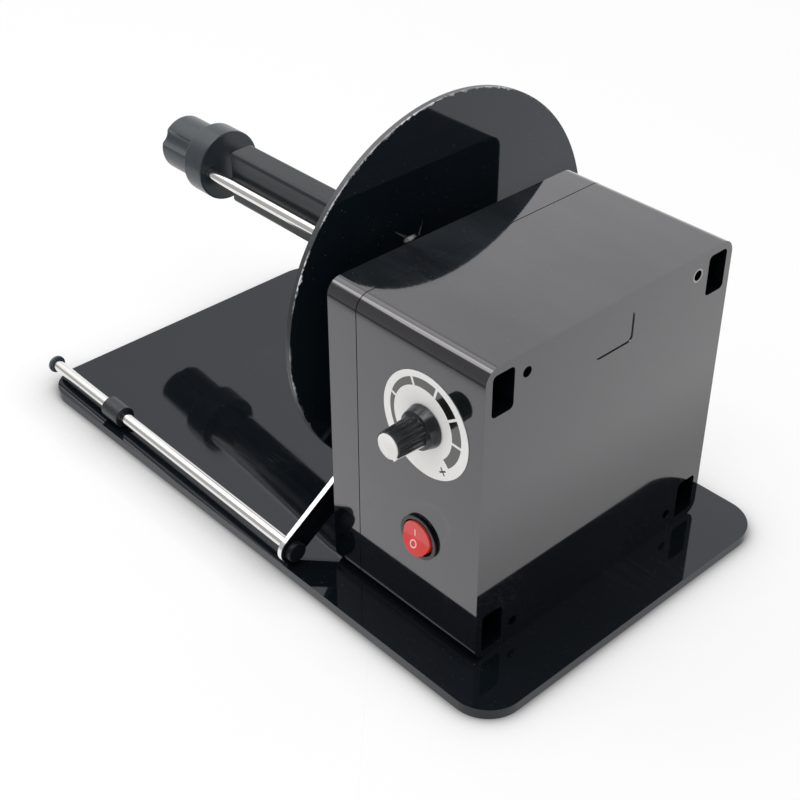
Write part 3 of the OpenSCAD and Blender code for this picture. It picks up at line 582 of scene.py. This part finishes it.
@dataclass(frozen=True)
class DiscAcrylic(WornBlack):
    """Sawn black acrylic disc: glossy faces, a dull cut rim with painted light that grows towards its top,
    chipped edges and a white star with rays.
    """

    axis: Spot = (0.0163, 0.1061)
    radius: float = 0.0937
    face_y: float = -0.0259
    base: float = 0.009
    cool: float = -0.4
    reflect: float = 0.62
    tint: Colour = BLUE
    rough: Spot = (0.05, 0.8)
    swell: Cloud = Cloud(20, 2, 0.4)
    hair: Scratches = Scratches(800, 50, (0.4, 0.9, 0.1), 0.012)
    cross: Scratches = Scratches(600, 70, (1.4, 0.2, 1.2), 0.009)
    worn: Cloud = Cloud(18, low=0.55, high=0.8)
    mark_grey: float = 0.2
    mark_show: float = 0.064
    mark_rough: float = 0.04
    dust: Specks = Specks(700, 0.10, 0.12)
    lint: Specks = Specks(260, 0.05, 0.10)
    dust_show: float = 0.5
    rim: Spot = (-0.0004, -0.0001)
    rim_grain: Cloud = Cloud(160, 3, 0.6)
    rim_grain_part: float = 0.2
    # Painted light: the rim's grey share grows with height, as if the rim were lit from above.
    rim_light_rise: Spot = (0.1, 1.1)
    rim_grain_and_light_share: Spot = (0.02, 0.7)
    rim_grain_and_light_grey: float = 0.09
    rim_rough: float = 0.3
    rim_saw: Cloud = Cloud(900)
    rim_saw_depth: float = 4
    chip_middle: float = math.radians(130)
    chip_reach: Spot = (math.radians(42), math.radians(96))
    chip_corner: Spot = (0.0002, 0.0008)
    chip_shape: Cloud = Cloud(300, 4, 0.75)
    chip_size: float = 0.0055
    chip_edge: Spot = (-0.0005, -0.0001)
    chip_patch: Cloud = Cloud(46, low=0.40, high=0.6)
    chip_grey: float = 0.85
    chip_show: float = 0.95
    chip_rough: float = 0.5
    chip_depth: float = 8
    # A white star with rays on the rear face, close to the case's top edge.
    star_centre: Spot = (-0.0065, 0.1385)
    rays: tuple[Streak, ...] = (Streak((0.0054, 0.0001), (0.0078, 0.0062)),
                                Streak((-0.0027, 0.0016), (-0.0095, 0.0070)),
                                Streak((-0.0060, -0.0030), (0.0085, -0.0040)))
    ray_grain: Cloud = Cloud(700, 3, 0.7, 0.3, 0.6)
    ray_show: float = 0.16
    core_squeeze: float = 0.36
    core_ragged: Cloud = Cloud(600)
    core_ragged_by: float = 0.0008
    core_size: Spot = (0.0010, 0.0021)
    core_grain: Cloud = Cloud(900, 3, 0.7, 0.36, 0.5)
    star_depth: float = 0.0005
    star_grey: float = 0.85
    star_rough: float = 0.5

    def chips(self, paint: Paint, edge: Wire, turn: Wire, depth: Wire) -> Wire:
        """Chipped corner between the rear face and the rim.

        Args:
            paint: Tree to add it to.
            edge: How far the point lies outside the rim.
            turn: Its angle round the axis.
            depth: How far it lies behind the rear face.

        Returns:
            1 on a chip, else 0.
        """
        zone = abs(turn - self.chip_middle).outside(*self.chip_reach)
        bite = (self.chip_shape.noise(paint) - MIDDLE) * self.chip_size + edge
        corner = depth.outside(*self.chip_corner)
        return bite.step(*self.chip_edge) * corner * zone * self.chip_patch.mask(paint)

    def star(self, paint: Paint, place: Place, depth: Wire) -> Wire:
        """White star with its rays on the rear face.

        Args:
            paint: Tree to add it to.
            place: The point's coordinates on the face.
            depth: How far it lies behind the face.

        Returns:
            1 on the star, else 0.
        """
        first, *others = [ray.mask(place, self.star_centre) for ray in self.rays]
        for other in others:
            first = first.most(other)
        squeezed = (place[0] * self.core_squeeze, place[1])
        near = paint.away(squeezed, (self.star_centre[0] * self.core_squeeze, self.star_centre[1]))
        core = (near + self.core_ragged.noise(paint) * self.core_ragged_by).outside(*self.core_size)
        rays = first * self.ray_show * self.ray_grain.mask(paint)
        return rays.most(core * self.core_grain.mask(paint)) * (depth < self.star_depth)

    def paint(self) -> Paint:
        """Builds the node tree."""
        paint = Paint.of_surface(self.name)
        x, y, z = paint.xyz()
        across, up, depth = x - self.axis[0], z - self.axis[1], y - self.face_y
        edge = paint.away((x, z), self.axis) - self.radius
        rim = edge.step(*self.rim)
        chips = self.chips(paint, edge, up.angle_to(across).wrapped(0, FULL_TURN), depth)
        star = self.star(paint, (x, z), depth)
        body, rough = self.wear(paint)
        # The white star with its rays goes into the colour.
        body = paint.mix(star, body, grey(self.star_grey))
        # Painted light: the cut rim turns greyer towards the top of the disc, as if lit from above, laid
        # over its sawn grain.
        top_light = (up / self.radius).step(*self.rim_light_rise) * self.rim_grain_and_light_share[1] + self.rim_grain_and_light_share[0]
        rim_grain_and_light = rim * (self.rim_grain.noise(paint) * self.rim_grain_part + top_light)
        body = paint.mix(rim_grain_and_light, body, grey(self.rim_grain_and_light_grey))
        body = paint.mix(chips * self.chip_show, body, grey(self.chip_grey))
        rough = rough + star * self.star_rough + rim * self.rim_rough + chips * self.chip_rough
        rough = rough + self.rough[0]
        paint.set(Base_Color=body, Specular_IOR_Level=self.reflect, Specular_Tint=self.tint,
                  Roughness=rough.least(self.rough[1]))
        saw = rim * self.rim_saw.noise(paint) * self.rim_saw_depth
        paint.bump(self.swell.noise(paint) - chips * self.chip_depth + saw, self.wave)
        return paint


@dataclass(frozen=True)
class SatinBlack(Finish):
    """Satin black with a fine grain, as on turned or moulded handling parts."""

    base: float = 0.012
    cool: float = -0.22
    pale: float = 1.5
    pale_cool: float = -0.2
    pale_show: float = 0.5
    rough: float = 0.32
    rough_spread: Spot = (-0.06, 0.12)
    reflect: float = 0.5
    mottle: Cloud = Cloud(40, 3)
    wear: Specks = Specks(600, 0.12, 0.10)
    wear_grey: float = 0.2
    wear_show: float = 0.4
    grain: Cloud = Cloud(1500)
    depth: float = 0.00001

    def relief(self, paint: Paint) -> Wire:
        """Height of the surface, in units of its depth."""
        return self.grain.noise(paint)

    def paint(self) -> Paint:
        """Builds the node tree."""
        paint = Paint.of_surface(self.name)
        cloud = self.mottle.noise(paint)
        light = grey(self.base * self.pale, self.pale_cool)
        body = paint.mix(cloud * self.pale_show, grey(self.base, self.cool), light)
        body = paint.mix(self.wear.mask(paint) * self.wear_show, body, grey(self.wear_grey))
        low, spread = self.rough_spread
        paint.set(Base_Color=body, Roughness=cloud * spread + (self.rough + low),
                  Specular_IOR_Level=self.reflect)
        paint.bump(self.relief(paint), self.depth)
        return paint


@dataclass(frozen=True)
class RibbedBlack(SatinBlack):
    """Black moulding whose grip has fine ribs along it and one white line."""

    centre: Spot = (-0.1079, 0.1140)
    grip: Spot = (-0.0948, -0.0812)
    ribs: int = 18
    rib_flank: Spot = (0.15, 0.85)
    depth: float = 0.0005
    line_at: float = 220
    line_half: float = 0.0012
    ink: float = 0.80

    def line(self, paint: Paint) -> Wire:
        """1 on the white line, else 0."""
        x, y, z = paint.xyz()
        ahead, aside = paint.along((y - self.centre[0], z - self.centre[1]), self.line_at)
        return (abs(aside) < self.line_half) * (ahead > 0) * (x < self.grip[1])

    def relief(self, paint: Paint) -> Wire:
        """Height of the ribs, which stop at the line."""
        x, y, z = paint.xyz()
        turn = (z - self.centre[1]).angle_to(y - self.centre[0]).wrapped(0, FULL_TURN)
        tooth = abs((turn * (self.ribs / FULL_TURN)).wrapped(0, 1) - 0.5) * 2
        grip = (x > self.grip[0]) * (x < self.grip[1])
        return tooth.step(*self.rib_flank).most(self.line(paint)) * grip

    def paint(self) -> Paint:
        """Builds the node tree."""
        paint = super().paint()
        paint.set(Base_Color=paint.mix(self.line(paint), paint.linked("Base Color"), grey(self.ink)))
        return paint


@dataclass(frozen=True)
class BrightMetal(Finish):
    """Plated or brushed metal with fine drawn lines along the piece."""

    colour: Colour = (0.80, 0.79, 0.77, 1.0)
    dark: float = 0.86
    rough: float = 0.12
    brushed: float = 0.06
    lines: Cloud = Cloud(2600)
    lines_by: Triple = (1.0, 0.02, 1.0)
    lines_show: float = 0.5
    lines_depth: float = 0.000004
    mottle: Cloud = Cloud(60, 3)
    mottle_show: float = 0.3
    mottle_rough: float = 0.05

    def paint(self) -> Paint:
        """Builds the node tree."""
        paint = Paint.of_surface(self.name)
        lines = self.lines.noise(paint, paint.stretched(self.lines_by))
        cloud = self.mottle.noise(paint)
        share = lines * self.lines_show + cloud * self.mottle_show
        paint.set(Base_Color=paint.mix(share, self.colour, shaded(self.colour, self.dark)), Metallic=1.0,
                  Roughness=lines * self.brushed + cloud * self.mottle_rough + self.rough)
        paint.bump(lines, self.lines_depth)
        return paint


@dataclass(frozen=True)
class Moulded(Finish):
    """Plain coloured plastic with a soft mottle and moulding grain."""

    colour: Colour = (0.5, 0.5, 0.5, 1.0)
    dark: float = 0.88
    dark_show: float = 0.6
    rough: float = 0.35
    rough_spread: Spot = (-0.05, 0.1)
    reflect: float = 0.5
    mottle: Cloud = Cloud(70, 3)
    specks: Specks = Specks(800, 0.1, 0.08)
    specks_grey: float = 0.25
    specks_show: float = 0.25
    grain: Cloud = Cloud(900)
    depth: float = 0.00001

    def marks(self, paint: Paint, body: bpy.types.NodeSocket) -> bpy.types.NodeSocket:
        """Lays what lies on the plastic over its colour."""
        return paint.mix(self.specks.mask(paint) * self.specks_show, body, grey(self.specks_grey))

    def paint(self) -> Paint:
        """Builds the node tree."""
        paint = Paint.of_surface(self.name)
        cloud = self.mottle.noise(paint)
        body = paint.mix(cloud * self.dark_show, self.colour, shaded(self.colour, self.dark))
        low, spread = self.rough_spread
        paint.set(Base_Color=self.marks(paint, body), Roughness=cloud * spread + (self.rough + low),
                  Specular_IOR_Level=self.reflect)
        paint.bump(self.grain.noise(paint), self.depth)
        return paint


@dataclass(frozen=True)
class RockerPrint(Moulded):
    """Red rocker with a white bar above and a white ring below."""

    colour: Colour = (0.70, 0.050, 0.045, 1.0)
    rough: float = 0.24
    grain: Cloud = Cloud(500)
    ink: Colour = (0.80, 0.62, 0.60, 1.0)
    ink_show: float = 0.9
    mark_y: float = -0.1046
    bar_z: Spot = (0.0558, 0.0592)
    ring_z: float = 0.0519
    ring_r: float = 0.0016
    line: Spot = (0.00022, 0.00038)

    def marks(self, paint: Paint, body: bpy.types.NodeSocket) -> bpy.types.NodeSocket:
        """Lays the print over the plastic's colour."""
        _, y, z = paint.xyz()
        bar = abs(y - self.mark_y).outside(*self.line) * (z > self.bar_z[0]) * (z < self.bar_z[1])
        ring = abs(paint.away((y, z), (self.mark_y, self.ring_z)) - self.ring_r).outside(*self.line)
        return paint.mix(bar.most(ring) * self.ink_show, body, self.ink)


@dataclass(frozen=True)
class DialPrint(Finish):
    """White dial with a growing crescent left glossy black, white division lines and a plus sign."""

    centre: Spot = (-0.1079, 0.1140)
    outer: Triple = (0.0, 0.0012, 0.0203)
    inner: Triple = (0.0014, 0.0006, 0.0166)
    start: float = math.radians(-40)
    end: float = math.radians(226)
    soft: float = 0.00006
    spokes: tuple[float, ...] = (20, 68, 107, 145, 182)
    spoke_half: float = 0.0006
    plus_at: float = 239
    plus_out: float = 0.0201
    plus_size: float = 0.0020
    plus_half: float = 0.0004
    ink: float = 0.006
    ink_coat_rough: float = 0.05
    ink_smooth: float = 0.22
    white: Colour = grey(0.88, 0.01)
    white_dark: Colour = grey(0.80, 0.02)
    white_show: float = 0.5
    rough: float = 0.32
    rough_spread: float = 0.08
    reflect: float = 0.6
    mottle: Cloud = Cloud(120, 3)
    grain: Cloud = Cloud(1200)
    depth: float = 0.000004

    def crescent(self, paint: Paint, place: Place) -> Wire:
        """1 on the black crescent, 0 on its division lines and outside it."""
        turn = place[1].angle_to(place[0]).wrapped(self.start, self.start + FULL_TURN)
        past = [(paint.away(place, circle[:2]) - circle[2]).step(-self.soft, self.soft)
                for circle in (self.outer, self.inner)]
        band = (1 - past[0]) * past[1] * (turn < self.end)
        for angle in self.spokes:
            ahead, aside = paint.along(place, angle)
            edge = (self.spoke_half - self.soft, self.spoke_half + self.soft)
            band = band * (1 - abs(aside).outside(*edge) * (ahead > 0))
        return band

    def plus(self, paint: Paint, place: Place) -> Wire:
        """1 on the plus sign, else 0."""
        ahead, aside = paint.along(place, self.plus_at)
        reach, half = abs(ahead - self.plus_out), abs(aside)
        upright = (reach < self.plus_size) * (half < self.plus_half)
        return upright.most((half < self.plus_size) * (reach < self.plus_half))

    def paint(self) -> Paint:
        """Builds the node tree."""
        paint = Paint.of_surface(self.name)
        _, y, z = paint.xyz()
        place = (y - self.centre[0], z - self.centre[1])
        band = self.crescent(paint, place)
        cloud = self.mottle.noise(paint)
        white = paint.mix(cloud * self.white_show, self.white, self.white_dark)
        paint.set(Base_Color=paint.mix(band.most(self.plus(paint, place)), white, grey(self.ink)),
                  Roughness=self.rough - band * self.ink_smooth + cloud * self.rough_spread,
                  Coat_Weight=band, Coat_Roughness=self.ink_coat_rough, Specular_IOR_Level=self.reflect)
        paint.bump(self.grain.noise(paint), self.depth)
        return paint


CASE = CaseGloss("case_gloss", base=0.004, rough=0.05, reflect=0.69, coat=0.85, wave=0.00003, tint=VIOLET)
PLATE = BowedBlack("plate_acrylic", base=0.006, rough=0.04, reflect=0.61, wave=0.000015, tint=BLUE)
ARM = EdgedBlack("arm_black", base=0.005, rough=0.05, wave=0.00001)
DISC = DiscAcrylic("disc_acrylic")
BAR = SatinBlack("bar_anodised", base=0.016, rough=0.28, reflect=0.36, depth=0.000002)
TURNED = SatinBlack("turned_black", base=0.034, rough=0.27, reflect=0.46, depth=0.000004)
HEAD = SatinBlack("head_black", base=0.008, rough=0.34, reflect=0.14)
KNOB = RibbedBlack("knob_black", base=0.007, rough=0.22, reflect=0.55)
RING = SatinBlack("ring_black", base=0.014, rough=0.34)
FLANGE = SatinBlack("flange_grey", base=0.07, rough=0.34)
BEZEL = SatinBlack("bezel_black", base=0.007, rough=0.16)
CHROME = BrightMetal("chrome_rod", colour=(0.86, 0.85, 0.83, 1.0), rough=0.08, brushed=0.06)
STEEL = BrightMetal("zinc_steel", colour=(0.56, 0.56, 0.57, 1.0), rough=0.28, brushed=0.12)
CAN = BrightMetal("can_steel", colour=(0.62, 0.62, 0.60, 1.0), rough=0.30, brushed=0.10)
BRASS = BrightMetal("plain_brass", colour=(0.72, 0.56, 0.28, 1.0), rough=0.26, brushed=0.10)
ALLOY = BrightMetal("turned_alloy", colour=(0.72, 0.72, 0.73, 1.0), rough=0.30, brushed=0.14)
ANODISED = SatinBlack("sink_black", base=0.02, rough=0.40)
FERRITE = Moulded("ferrite", colour=grey(0.06), rough=0.6)
WOUND = BrightMetal("wound_core", colour=(0.50, 0.28, 0.16, 1.0), rough=0.40, brushed=0.2)
WHITE = Moulded("cap_white", colour=grey(0.84, 0.015), rough=0.28)
RED = RockerPrint("rocker_red")
POT = Moulded("pot_grey", colour=grey(0.12), rough=0.4)
BOARD = Moulded("board_green", colour=(0.03, 0.16, 0.07, 1.0), rough=0.35)
SLEEVE = Moulded("sleeve_blue", colour=(0.03, 0.04, 0.12, 1.0), rough=0.25)
RUBBER = Moulded("stop_rubber", colour=grey(0.02), rough=0.7)
DIAL = DialPrint("dial_print")


class Mould:
    """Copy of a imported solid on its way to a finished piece."""

    def __init__(self, node: str) -> None:
        """Merges the solid's points and joins its flats into whole faces."""
        self.node = node
        self.bm = bmesh.new()
        self.bm.from_mesh(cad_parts[node].data)
        bmesh.ops.remove_doubles(self.bm, verts=self.bm.verts, dist=MERGE)
        bmesh.ops.dissolve_limit(self.bm, angle_limit=FLAT, verts=self.bm.verts, edges=self.bm.edges)

    def ease(self, width: float, segments: int = EDGE_STEPS, above: float = -1.0) -> "Mould":
        """Rounds the sharp edges.

        Args:
            width: Size of the rounding, in millimetres.
            segments: Steps across it.
            above: Edges that lie wholly under this height, in millimetres, stay square.

        Returns:
            The same mould.
        """
        sharp = [edge for edge in self.bm.edges if edge.is_manifold and edge.calc_face_angle(0) > SHARP
                 and max(vert.co.z for vert in edge.verts) > above * MM]
        bmesh.ops.bevel(self.bm, geom=sharp, offset=width * MM, offset_type="OFFSET", segments=segments,
                        profile=ROUND, affect="EDGES", clamp_overlap=True, material=-1)
        return self

    def turn_about_x(self, degrees: float, centre: Spot) -> "Mould":
        """Turns the piece about a line along X through a point (y, z), in metres."""
        turn = Matrix.Rotation(math.radians(degrees), 3, "X")
        bmesh.ops.rotate(self.bm, cent=(0, *centre), matrix=turn, verts=self.bm.verts)
        return self

    def draw_back(self, plane_y: float, by: float) -> "Mould":
        """Moves the points of one upright plane along Y, in millimetres, so that a seam opens there."""
        for vert in self.bm.verts:
            if abs(vert.co.y - plane_y * MM) < PLANE_SLACK:
                vert.co.y += by * MM
        return self

    def finish(self, name: str, body: Body, finish: Finish, slot: Slot) -> None:
        """Makes the object, which stands for the solid that it was copied from.

        Args:
            name: Name of the piece.
            body: Body that it rides on.
            finish: Its surface.
            slot: The record's slot that it belongs to; it is not used.
        """
        for face in self.bm.faces:
            face.smooth = True
        for edge in self.bm.edges:
            edge.smooth = edge.is_manifold and edge.calc_face_angle(0) < SHARP
        mesh = bpy.data.meshes.new(name)
        self.bm.to_mesh(mesh)
        self.bm.free()
        mesh.materials.append(finish.material())
        made = bpy.data.objects.new(name, mesh)
        bpy.context.scene.collection.objects.link(made)
        flats = made.modifiers.new("flats", "WEIGHTED_NORMAL")
        flats.keep_sharp = True
        flats.weight = FLAT_WEIGHT
        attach(made, body.value)
        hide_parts(self.node)
        LOG.info("%s: %d faces on %s", name, len(mesh.polygons), body.value)


def dress(finish: Finish, *nodes: str) -> None:
    """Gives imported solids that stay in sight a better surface."""
    for node in nodes:
        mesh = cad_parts[node].data
        mesh.materials.clear()
        mesh.materials.append(finish.material())
        LOG.info("%s: dressed as %s", node, finish.name)


@dataclass
class Housing:
    """Base plate and the two-part case."""

    plate_ease: float = 0.5
    case_ease: float = 0.45
    foot_z: float = 5.6
    seam_y: float = -67.0
    seam_open: float = 0.22

    def shell(self, node: str, name: str, open_by: float) -> None:
        """Builds one half of the case, drawn back from the seam, with its foot left square."""
        half = Mould(node).draw_back(self.seam_y, open_by).ease(self.case_ease, above=self.foot_z)
        half.finish(name, Body.BASE, CASE, Slot.CASE)

    def build(self) -> None:
        """Builds the plate and the shells."""
        plate = Mould("base_plate").ease(self.plate_ease, FINE_STEPS)
        plate.finish("base_plate_polished", Body.BASE, PLATE, Slot.ACRYLIC)
        self.shell("main_shell", "main_shell_moulded", -self.seam_open)
        self.shell("cover_shell", "cover_shell_moulded", self.seam_open)
        dress(STEEL, "base_screws", "base_nuts", "cover_screws", "gearbox_screws", "board_screws",
              "switch_screws")
        dress(RUBBER, "arm_stop")


class Drive:
    """Gearmotor, board and limit switch inside the case."""

    def build(self) -> None:
        """Dresses the pieces, which stay plain solids."""
        dress(CAN, "gearbox_front", "gearbox_case", "motor_can")
        dress(STEEL, "idler_pin", "output_shaft", "hub_grub", "core_screws", "pivot_shaft", "pivot_screw",
              "cam_grub", "guide_axle", "pot_nut", "socket_nut", "pot_shaft", "switch_lever", "pull_screw")
        dress(BRASS, "output_gear", "idler_gear", "motor_pinion", "pivot_bush", "bush_nut",
              "rocker_terminals")
        dress(ALLOY, "drive_hub", "switch_cam")
        dress(ANODISED, "heat_sink")
        dress(FERRITE, "motor_magnets")
        dress(WOUND, "rotor_core")
        dress(POT, "pot_body")
        dress(BOARD, "control_board")
        dress(SLEEVE, "board_capacitor")
        dress(BEZEL, "motor_end", "switch_body", "power_socket")


@dataclass
class Spindle:
    """Flange disc and flat core bar."""

    disc_ease: float = 0.25
    bar_ease: float = 0.4

    def build(self) -> None:
        """Builds the disc and the bar."""
        disc = Mould("flange_disc").ease(self.disc_ease)
        disc.finish("flange_disc_sawn", Body.SPINDLE, DISC, Slot.ACRYLIC)
        bar = Mould("core_bar").ease(self.bar_ease)
        bar.finish("core_bar_milled", Body.SPINDLE, BAR, Slot.BAR)


@dataclass
class Clip:
    """Pull-out clip: rods, collar and lobed knob."""

    rod_ease: float = 0.4
    collar_ease: float = 0.3
    knob_ease: float = 1.2

    def build(self) -> None:
        """Builds the three pieces."""
        rods = Mould("clamp_rods").ease(self.rod_ease)
        rods.finish("clamp_rods_bright", Body.CLIP, CHROME, Slot.CHROME)
        collar = Mould("end_collar").ease(self.collar_ease)
        collar.finish("end_collar_turned", Body.CLIP, TURNED, Slot.SATIN)
        knob = Mould("pull_knob").ease(self.knob_ease, FINE_STEPS)
        knob.finish("pull_knob_moulded", Body.CLIP, TURNED, Slot.SATIN)


@dataclass
class GuideArm:
    """Arm with its roller, stop ring and small round ends."""

    arm_ease: float = 0.35
    turned_ease: float = 0.25

    def build(self) -> None:
        """Builds the pieces that are in sight."""
        arm = Mould("arm_plate").ease(self.arm_ease, FINE_STEPS)
        arm.finish("arm_plate_polished", Body.ARM, ARM, Slot.ACRYLIC)
        turned = (("axle_head", "axle_head_turned", Body.ARM, HEAD, Slot.SATIN),
                  ("end_flange", "end_flange_turned", Body.ARM, FLANGE, Slot.SATIN),
                  ("guide_roller", "guide_roller_bright", Body.ROLLER, CHROME, Slot.CHROME),
                  ("stop_ring", "stop_ring_turned", Body.RING, RING, Slot.SATIN))
        for node, *looks in turned:
            Mould(node).ease(self.turned_ease).finish(*looks)


@dataclass
class Controls:
    """Dial, speed knob and rocker switch on the side of the case."""

    pointer_at: float = 270.0
    dial_ease: float = 0.1
    knob_ease: float = 0.15
    bezel_ease: float = 0.2
    rocker_ease: float = 0.35

    def build(self) -> None:
        """Builds the pieces, with the cap's pointer turned to the white line on the knob."""
        dial = Mould("dial_scale").ease(self.dial_ease)
        dial.finish("dial_printed", Body.BASE, DIAL, Slot.WHITE)
        knob = Mould("speed_knob").ease(self.knob_ease)
        knob.finish("speed_knob_moulded", Body.KNOB, KNOB, Slot.SATIN)
        cap = Mould("knob_cap").turn_about_x(KNOB.line_at - self.pointer_at, KNOB.centre)
        cap.ease(self.knob_ease).finish("knob_cap_moulded", Body.KNOB, WHITE, Slot.WHITE)
        bezel = Mould("rocker_housing").ease(self.bezel_ease)
        bezel.finish("rocker_bezel_moulded", Body.BASE, BEZEL, Slot.FITTING)
        rocker = Mould("rocker_button").ease(self.rocker_ease, FINE_STEPS)
        rocker.finish("rocker_moulded", Body.ROCKER, RED, Slot.RED)


@dataclass(frozen=True)
class Lamp:
    """A soft square lamp that points at the object; its side is in metres, its power in watts."""

    name: str
    at: Triple
    side: float
    power: float
    aim: Triple = (0, 0, 0.08)

    def hang(self) -> None:
        """Adds the lamp to the scene."""
        data = bpy.data.lights.new(self.name, "AREA")
        data.shape = "SQUARE"
        data.size = self.side
        data.energy = self.power
        made = bpy.data.objects.new(self.name, data)
        made.location = self.at
        made.rotation_mode = "QUATERNION"
        made.rotation_quaternion = (Vector(self.aim) - Vector(self.at)).to_track_quat("-Z", "Y")
        bpy.context.scene.collection.objects.link(made)


@dataclass
class Studio:
    """Camera, floor, world and lamps."""

    camera_at: Triple = (-0.40217, -0.4449, 0.46244)
    azimuth: float = -42.91
    elevation: float = 35.59
    focal_px: float = 1476.1
    image_px: float = 800.0
    sensor: float = 36.0
    clip: Spot = (0.01, 50)
    fill: float = 0.62
    left_light: float = 0.45
    left_side: Spot = (0.43, 0.50)
    left_top: Spot = (0.8, 0.95)
    front_light: float = 0.25
    front_ahead: Spot = (0.25, 0.45)
    front_foot: Spot = (0.0, 0.12)
    floor_half: float = 30.0
    floor_grey: float = 0.92
    floor_rough: float = 0.9
    floor_white: float = 0.72
    open_from: Spot = (0.6, 2.5)
    table_edge: Spot = (-0.2315, -0.2255)
    table_dark: float = 0.22
    table_far: Spot = (-0.3885, -0.3485)
    contact: float = 0.03
    contact_dark: float = 1.5
    contact_samples: int = 16
    plate_foot: Spot = (0.10, 0.165)
    plate_shade: Spot = (0.165, 0.222)
    front_shade: float = 0.32
    lamps: tuple[Lamp, ...] = (Lamp("back_lamp", (-0.60, 1.05, 1.62), 0.60, 3),
                               Lamp("soft_lamp", (0.0, 1.145, 1.69), 1.2, 4),
                               Lamp("top_lamp", (-0.4, -0.2, 1.9), 1.2, 16))

    def camera(self) -> None:
        """Makes the camera at the photograph's angle."""
        data = bpy.data.cameras.new("camera")
        data.sensor_width = self.sensor
        data.lens = self.focal_px / self.image_px * self.sensor
        data.clip_start, data.clip_end = self.clip
        made = bpy.data.objects.new("camera", data)
        turn, rise = math.radians(self.azimuth), math.radians(self.elevation)
        back = Vector((math.sin(turn) * math.cos(rise), -math.cos(turn) * math.cos(rise), math.sin(rise)))
        made.location = self.camera_at
        made.rotation_mode = "QUATERNION"
        made.rotation_quaternion = (-back).to_track_quat("-Z", "Y")
        bpy.context.scene.collection.objects.link(made)
        bpy.context.scene.camera = made

    @staticmethod
    def rays(paint: Paint) -> tuple[Wire, Wire]:
        """Kinds of ray that look at the studio itself.

        Args:
            paint: Tree to add the nodes to.

        Returns:
            1 for rays from the camera or a mirror-like surface, and 1 for the latter alone.
        """
        path = paint.node("ShaderNodeLightPath").outputs
        mirror = Wire(paint, path["Is Glossy Ray"]).most(Wire(paint, path["Is Transmission Ray"]))
        return mirror.most(Wire(paint, path["Is Camera Ray"])), mirror

    @staticmethod
    def glow(paint: Paint, kind: str, level: float) -> bpy.types.NodeSocket:
        """Plain light of one level, from a shader of the given kind."""
        return paint.node(kind, {}, {"Color": PLAIN, "Strength": level}).outputs[0]

    @staticmethod
    def blend(paint: Paint, factor: Wire, first: bpy.types.NodeSocket,
              second: bpy.types.NodeSocket) -> bpy.types.NodeSocket:
        """Mixes two shaders; a factor of 1 gives the second."""
        return paint.node("ShaderNodeMixShader", {}, {0: factor, 1: first, 2: second}).outputs[0]

    def world(self) -> None:
        """Makes a white surround at a plain level; mirrors see it darker on the left and in front."""
        world = bpy.data.worlds.new("studio")
        bpy.context.scene.world = world
        world.use_nodes = True
        paint = Paint(world.node_tree)
        side, ahead, height = paint.split(paint.node("ShaderNodeTexCoord").outputs["Generated"])
        seen, mirror = self.rays(paint)
        left = (0 - side).step(*self.left_side) * height.outside(*self.left_top) * (1 - self.left_light)
        front = (0 - ahead).step(*self.front_ahead) * height.step(*self.front_foot)
        front = front * (1 - self.front_light)
        plain, white, black = (self.glow(paint, "ShaderNodeBackground", level)
                               for level in (self.fill, 1.0, 0.0))
        bright = self.blend(paint, left.most(front) * mirror, white, black)
        paint.node("ShaderNodeOutputWorld", {}, {"Surface": self.blend(paint, seen, plain, bright)})

    def dark_floor(self, paint: Paint, place: Place, seen: Wire, mirror: Wire) -> Wire:
        """How dark the floor is where the plate meets it, and in mirrors at its left end and in front.

        Args:
            paint: Tree to add the nodes to.
            place: The point's coordinates on the floor.
            seen: 1 for rays from the camera or a mirror-like surface.
            mirror: 1 for the latter alone.

        Returns:
            0 where it is white, 1 where it is black.
        """
        settings, sockets = {"samples": self.contact_samples}, {"Distance": self.contact}
        touch = Wire(paint, paint.node("ShaderNodeAmbientOcclusion", settings, sockets).outputs["AO"])
        shadow = ((1 - touch) * self.contact_dark).least(1.0) * (seen - mirror)
        beyond = place[0].outside(*self.table_edge) * (1 - self.table_dark)
        far = place[0].outside(*self.table_far) * (self.left_light - self.table_dark)
        ahead = 0 - place[1]
        before = ahead.step(*self.plate_foot) * ahead.outside(*self.plate_shade) * self.front_shade
        return ((beyond - far) * mirror).most(before * mirror).most(shadow)

    def floor(self) -> None:
        """Makes the pale floor that keeps the object's shadow."""
        paint = Paint.of_surface("floor_white")
        seen, mirror = self.rays(paint)
        x, y, _ = paint.xyz()
        open_floor = paint.away((x, y), (0, 0)).step(*self.open_from)
        open_floor = open_floor * (1 - self.floor_white) + self.floor_white
        dark = self.dark_floor(paint, (x, y), seen, mirror)
        paint.set(Base_Color=grey(self.floor_grey), Roughness=self.floor_rough, Specular_IOR_Level=0.0)
        white, black = (self.glow(paint, "ShaderNodeEmission", level) for level in (1.0, 0.0))
        lit = self.blend(paint, seen * open_floor, paint.shader.outputs["BSDF"], white)
        paint.feed(paint.output, "Surface", self.blend(paint, dark, lit, black))
        mesh = bpy.data.meshes.new("floor")
        sheet = bmesh.new()
        bmesh.ops.create_grid(sheet, x_segments=1, y_segments=1, size=self.floor_half)
        sheet.to_mesh(mesh)
        sheet.free()
        mesh.materials.append(paint.material)
        made = bpy.data.objects.new("floor", mesh)
        bpy.context.scene.collection.objects.link(made)

    def build(self) -> None:
        """Sets up the whole studio."""
        bpy.context.scene.view_settings.view_transform = "Standard"
        self.camera()
        self.world()
        self.floor()
        for lamp in self.lamps:
            lamp.hang()


def main() -> None:
    """Builds the studio and every sub-assembly in order."""
    logging.basicConfig(level=logging.INFO, format="%(name)s %(message)s")
    for part in (Studio(), Housing(), Drive(), Spindle(), Clip(), GuideArm(), Controls()):
        part.build()


if __name__ == "__main__":
    main()
